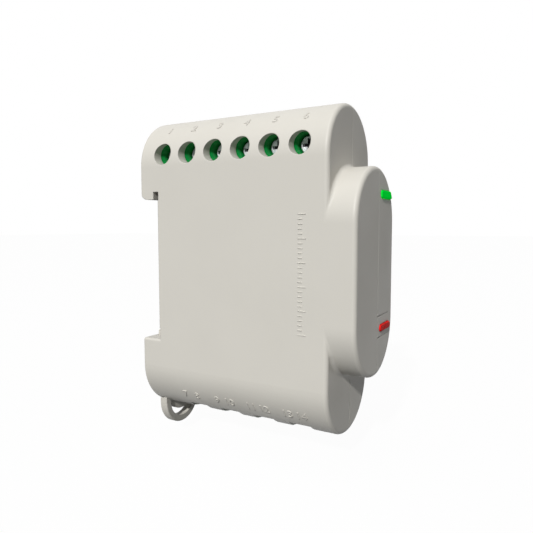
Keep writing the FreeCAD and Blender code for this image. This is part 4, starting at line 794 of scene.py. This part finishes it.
@dataclass
class Casing:
    """Two shells with round ends, and the plain raised marks on the screw side; sizes in millimetres."""

    wardrobe: Wardrobe
    half_width: float = 11.78
    end_centre_z: float = 24.22
    sensor_y: tuple[float, ...] = (-8.1, -17.35, -26.6, -35.85)
    sensor_spread: float = 1.7
    upper_turn_deg: float = 45.5
    lower_turn_deg: float = -32.5
    digit_height: float = 2.0
    digit_share: float = 0.7
    digit_bevel: float = 0.02
    digit_steps: int = 4
    mark_rise: float = 0.13
    mark_sink: float = 0.1
    scale_y: float = -37.4
    scale_top_z: float = 12.4
    scale_ticks: int = 26
    long_every: int = 5
    tick_length: float = 1.1
    long_tick_length: float = 1.9
    tick_width: float = 0.22
    tick_taper: float = 0.08
    tick_end: float = 0.7
    tick_profile: tuple[tuple[float, float], ...] = (
        (-0.5, 0.0), (-0.5, 0.6), (-0.3, 0.92), (0.0, 1.0), (0.3, 0.92), (0.5, 0.6), (0.5, 0.0))

    def build(self) -> None:
        """Dresses the shells and adds the raised marks."""
        self.wardrobe.dress(CASING_GREY, "left_shell", "right_shell")
        upper = [(str(pole + 1), pole_y(pole)) for pole in range(POLES)]
        lower = []
        for i, y in enumerate(self.sensor_y):
            first = POLES + 1 + 2 * i
            lower.append((str(first), y + self.sensor_spread))
            lower.append((str(first + 1), y - self.sensor_spread))
        self._add("screw_numbers", self._numbers(upper, self.upper_turn_deg))
        self._add("sensor_numbers", self._numbers(lower, self.lower_turn_deg))
        self._add("strip_scale", self._scale())

    def _add(self, name: str, mesh: bpy.types.Mesh) -> None:
        """Makes a piece of a mesh, in the casing's plastic, fixed to the casing.

        Args:
            name: the piece's name.
            mesh: its mesh, in metres.
        """
        piece = add_object(name, mesh)
        mesh.materials.clear()
        mesh.materials.append(self.wardrobe.material(CASING_GREY))
        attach(piece, "casing")
        LOG.info("%s made, %d faces", name, len(mesh.polygons))

    def _number(self, text: str) -> tuple[list[Vector], list[tuple[int, ...]]]:
        """Raised outline of a number, still flat.

        Args:
            text: the number's digits.

        Returns:
            The points, in millimetres with the number's middle at 0, and the faces.
        """
        curve = bpy.data.curves.new("digit", "FONT")
        curve.body = text
        curve.align_x = "CENTER"
        curve.align_y = "CENTER"
        curve.size = self.digit_height / self.digit_share
        curve.extrude = (self.mark_rise + self.mark_sink) / 2
        curve.bevel_depth = self.digit_bevel
        curve.resolution_u = self.digit_steps
        shown = bpy.data.objects.new("digit", curve)
        mesh = bpy.data.meshes.new_from_object(shown)
        points = [v.co.copy() for v in mesh.vertices]
        faces = [tuple(p.vertices) for p in mesh.polygons]
        bpy.data.objects.remove(shown)
        bpy.data.curves.remove(curve)
        bpy.data.meshes.remove(mesh)
        return points, faces

    def _wrap(self, across: float, up: float, out: float, y: float, turn_deg: float) -> Vector:
        """Puts a point of a flat mark onto the round end of the screw side.

        Args:
            across: place along the mark's reading direction, in millimetres.
            up: place up the mark, measured on the curve.
            out: height over the curve.
            y: the mark's place along the casing.
            turn_deg: its place round the end, from the flat side upwards.

        Returns:
            The point in the model's frame, in metres.
        """
        turn = math.radians(turn_deg)
        centre_z = math.copysign(self.end_centre_z, turn_deg)
        angle = turn + up / self.half_width
        radius = self.half_width + out
        return Vector((-radius * math.cos(angle), y - across, centre_z + radius * math.sin(angle))) * MM

    def _numbers(self, marks: Iterable[tuple[str, float]], turn_deg: float) -> bpy.types.Mesh:
        """One mesh of several numbers on the round end.

        Args:
            marks: each number with its place along the casing, in millimetres.
            turn_deg: the row's place round the end.

        Returns:
            The mesh, in metres.
        """
        points: list[Vector] = []
        faces: list[tuple[int, ...]] = []
        lift = (self.mark_rise - self.mark_sink) / 2
        for text, y in marks:
            flat, flat_faces = self._number(text)
            base = len(points)
            points += [self._wrap(p.x, p.y, p.z + lift, y, turn_deg) for p in flat]
            faces += [tuple(base + k for k in f) for f in flat_faces]
        mesh = bpy.data.meshes.new("numbers")
        mesh.from_pydata(points, [], faces)
        return mesh

    def _scale(self) -> bpy.types.Mesh:
        """Column of plain ticks with rounded tops on the flat side, a millimetre apart."""
        points: list[Vector] = []
        faces: list[tuple[int, ...]] = []
        n = len(self.tick_profile)
        for i in range(self.scale_ticks):
            z = self.scale_top_z - i
            length = self.long_tick_length if i % self.long_every == 0 else self.tick_length
            base = len(points)
            stations = (
                (0.0, self.tick_end), (self.tick_taper, 1.0),
                (length - self.tick_taper, 1.0), (length, self.tick_end))
            for along, full in stations:
                for across, rise in self.tick_profile:
                    out = (rise * full) * (self.mark_rise + self.mark_sink) - self.mark_sink
                    width = across * self.tick_width * full
                    points.append(Vector((-self.half_width - out, self.scale_y - along, z + width)) * MM)
            for k in range(len(stations) - 1):
                for j in range(n):
                    a, b = base + k * n + j, base + k * n + (j + 1) % n
                    faces.append((a, b, b + n, a + n))
            faces.append(tuple(base + j for j in reversed(range(n))))
            faces.append(tuple(base + (len(stations) - 1) * n + j for j in range(n)))
        mesh = bpy.data.meshes.new("strip_scale")
        mesh.from_pydata(points, [], faces)
        return mesh


@dataclass
class ScrewTerminals:
    """Green block with six screws, clamping cages and contact bars; sizes in millimetres."""

    wardrobe: Wardrobe
    screw_z: float = 26.9
    head_x: float = -7.0

    def build(self) -> None:
        """Dresses the block, the bars, the cages and each screw."""
        self.wardrobe.dress(TERMINAL_GREEN, "screw_terminal_block")
        self.wardrobe.dress(TINNED_COPPER, "contact_bars")
        for pole in range(POLES):
            number = pole + 1
            head = TurnedHead(
                "screw_steel_%d" % number, rgb(206, 207, 210), roughness=0.5, metallic=0.85,
                centre_y=pole_y(pole) * MM, centre_z=self.screw_z * MM,
                face_x=self.head_x * MM, dull=rgb(168, 169, 172), edge_radius=0.1 * MM)
            self.wardrobe.dress(head, "terminal_screw_%d" % number)
            self.wardrobe.dress(CAGE_STEEL, "clamp_cage_%d" % number)


@dataclass
class SensorTerminals:
    """Four green spring sockets for the clamp-on sensors' wires."""

    wardrobe: Wardrobe
    count: int = 4

    def build(self) -> None:
        """Dresses the sockets and their contacts."""
        self.wardrobe.dress(TERMINAL_GREEN, *["sensor_terminal_%d" % (i + 1) for i in range(self.count)])
        self.wardrobe.dress(TINNED_COPPER, "sensor_contacts")


@dataclass
class Front:
    """Light bar with its lamp, and the button with its switch."""

    wardrobe: Wardrobe

    def build(self) -> None:
        """Dresses what shows on the nose and what works behind it."""
        self.wardrobe.dress(LIGHT_GREEN, "light_pipe")
        self.wardrobe.dress(LAMP_CLEAR, "status_led")
        self.wardrobe.dress(BUTTON_RED, "reset_button")
        self.wardrobe.dress(SWITCH_BODY, "button_switch")
        self.wardrobe.dress(PLUNGER_WHITE, "switch_plunger")


@dataclass
class Boards:
    """Main board and radio board with the chips on them."""

    wardrobe: Wardrobe

    def build(self) -> None:
        """Dresses the boards and their chips."""
        for finish, names in (
                (BOARD_GREEN, ("main_board",)),
                (RADIO_BLUE, ("radio_board",)),
                (HEADER_BLACK, ("board_header",)),
                (TINNED_STEEL, ("radio_shield",)),
                (PROCESSOR_BLACK, ("processor",)),
                (CRYSTAL_METAL, ("crystal",)),
                (CHIP_BLACK, ("metering_chip",)),
                (CHIP_RESISTOR, ("measuring_resistors",))):
            self.wardrobe.dress(finish, *names)


@dataclass
class PowerSupply:
    """Transformer, capacitors, varistors and the rest of the mains side."""

    wardrobe: Wardrobe

    def build(self) -> None:
        """Dresses each component."""
        for finish, names in (
                (FERRITE_GREY, ("transformer_core", "choke_core")),
                (BOBBIN_BLACK, ("transformer_bobbin",)),
                (WINDING_TAPE, ("transformer_winding",)),
                (COPPER_WIRE, ("choke_winding",)),
                (VARISTOR_BLUE, ("varistors",)),
                (FUSE_GREEN, ("fusible_resistors",)),
                (RECTIFIER_BLACK, ("bridge_rectifier",))):
            self.wardrobe.dress(finish, *names)
        for name in ("mains_capacitor", "output_capacitor"):
            low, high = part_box(name)
            can = SleevedCan(
                "sleeve_" + name, rgb(30, 34, 44), roughness=0.36,
                axis_y=(low[1] + high[1]) / 2, axis_z=(low[2] + high[2]) / 2)
            self.wardrobe.dress(can, name)


@dataclass
class RailClip:
    """Sliding clip with its pull loop, and the spring that holds it up."""

    wardrobe: Wardrobe

    def build(self) -> None:
        """Dresses the clip and its spring."""
        self.wardrobe.dress(CLIP_GREY, "rail_clip")
        self.wardrobe.dress(SPRING_STEEL, "clip_spring")


@dataclass
class Studio:
    """Camera, lamps, white surround and pale floor; in metres, but the sensor in millimetres."""

    eye: tuple[float, float, float] = (-0.10890, -0.08643, 0.00996)
    look: tuple[float, float, float] = (0.8623, 0.5007, -0.0761)
    roll_deg: float = -0.059
    focal_px: float = 530.03
    sensor: float = 36.0
    key_from: tuple[float, float, float] = (-1.0, -0.19, 0.626)
    key_strength: float = 2.95
    key_angle_deg: float = 3.0
    key_tint: tuple[float, float, float] = (1.0, 0.995, 0.985)
    fill_strength: float = 0.055
    sky_power: float = 0.98
    sky_height: float = 0.56
    sky_lean: float = 0.4
    sky_side: float = 0.3
    nearest: float = 0.01
    floor_side: float = 6.0
    floor_drop: float = 0.0032
    floor_white: float = 0.97
    floor_bounce: Colour = (0.14, 0.145, 0.15, 1.0)
    paper_scale: float = 60.0
    paper_tones: tuple[Colour, Colour] = (rgb(244, 244, 243), rgb(250, 250, 249))

    def build(self) -> None:
        """Sets up everything round the object."""
        low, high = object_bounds()
        self._camera()
        self._key()
        self._sky(low, high)
        self._surround()
        self._floor(low)
        bpy.context.scene.view_settings.view_transform = "Standard"

    def _camera(self) -> None:
        """Camera at the photograph's place."""
        data = bpy.data.cameras.new("camera")
        data.sensor_width = self.sensor
        data.lens = self.focal_px * self.sensor / PICTURE_SIDE
        data.clip_start = self.nearest
        camera = add_object("camera", data)
        turn = Vector(self.look).to_track_quat("-Z", "Y").to_matrix().to_4x4()
        roll = Matrix.Rotation(math.radians(self.roll_deg), 4, "Z")
        camera.matrix_world = Matrix.Translation(self.eye) @ turn @ roll
        bpy.context.scene.camera = camera
        LOG.info("camera placed")

    def _key(self) -> None:
        """Sun from the screw side, above and a little in front."""
        data = bpy.data.lights.new("key", "SUN")
        data.energy = self.key_strength
        data.angle = math.radians(self.key_angle_deg)
        data.color = self.key_tint
        lamp = add_object("key", data)
        lamp.rotation_mode = "QUATERNION"
        lamp.rotation_quaternion = (-Vector(self.key_from)).to_track_quat("-Z", "Y")
        LOG.info("key lamp placed")

    def _sky(self, low: Vector, high: Vector) -> None:
        """Soft lamp overhead.

        Args:
            low: the object's lowest corner.
            high: its highest corner.
        """
        data = bpy.data.lights.new("sky", "AREA")
        data.size = self.sky_side
        data.energy = self.sky_power
        lamp = add_object("sky", data)
        middle = (low + high) / 2
        lamp.location = middle + Vector((-self.sky_height * self.sky_lean, 0, self.sky_height))
        lamp.rotation_mode = "QUATERNION"
        lamp.rotation_quaternion = (middle - lamp.location).to_track_quat("-Z", "Y")
        LOG.info("overhead lamp placed")

    @staticmethod
    def _seen(graph: Graph) -> bpy.types.NodeSocket:
        """1 for a ray from the camera, or one that a shiny or clear surface sends on."""
        rays = graph.add("ShaderNodeLightPath")
        seen = graph.sum("MAXIMUM", rays.outputs["Is Camera Ray"], rays.outputs["Is Glossy Ray"])
        return graph.sum("MAXIMUM", seen, rays.outputs["Is Transmission Ray"])

    def _surround(self) -> None:
        """White where it is seen, and a weak even light on the object."""
        world = bpy.data.worlds.new("surround")
        world.use_nodes = True
        graph = Graph(world.node_tree)
        background = graph.find("BACKGROUND")
        background.inputs["Color"].default_value = WHITE
        strength = graph.span(self._seen(graph), 0.0, 1.0, self.fill_strength, 1.0)
        graph.feed(background.inputs["Strength"], strength)
        bpy.context.scene.world = world
        LOG.info("surround made")

    def _floor(self, low: Vector) -> None:
        """Pale floor under the object, nearly white where it is seen.

        Args:
            low: the object's lowest corner.
        """
        half = self.floor_side / 2
        z = low.z - self.floor_drop
        mesh = bpy.data.meshes.new("floor")
        corners = [(-half, -half, z), (half, -half, z), (half, half, z), (-half, half, z)]
        mesh.from_pydata(corners, [], [tuple(range(len(corners)))])
        material = bpy.data.materials.new("floor")
        material.use_nodes = True
        graph = Graph(material.node_tree)
        graph.tree.nodes.remove(graph.find("BSDF_PRINCIPLED"))
        paper = graph.blend(graph.noise(self.paper_scale, FINE_DETAIL), *self.paper_tones)
        camera_ray = graph.add("ShaderNodeLightPath").outputs["Is Camera Ray"]
        colour = graph.blend(camera_ray, self.floor_bounce, paper)
        matt = graph.add("ShaderNodeBsdfDiffuse", {"Color": colour})
        white = graph.add("ShaderNodeEmission", {"Color": WHITE, "Strength": 1.0})
        mixed = graph.add("ShaderNodeMixShader")
        graph.feed(mixed.inputs[0], graph.sum("MULTIPLY", self._seen(graph), self.floor_white))
        graph.feed(mixed.inputs[1], matt.outputs[0])
        graph.feed(mixed.inputs[2], white.outputs[0])
        graph.feed(graph.find("OUTPUT_MATERIAL").inputs["Surface"], mixed.outputs[0])
        mesh.materials.append(material)
        floor = add_object("floor", mesh)
        floor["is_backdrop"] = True
        LOG.info("floor laid")


def main() -> None:
    """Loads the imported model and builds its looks, part by part."""
    logging.basicConfig(level=logging.INFO, format="%(name)s: %(message)s")
    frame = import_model()
    wardrobe = Wardrobe(frame["nodes"])
    assemblies: list[type] = [Casing, ScrewTerminals, SensorTerminals, Front, Boards, PowerSupply, RailClip]
    for assembly in assemblies:
        LOG.info("building %s", assembly.__name__)
        assembly(wardrobe).build()
    Studio().build()


if __name__ == "__main__":
    main()
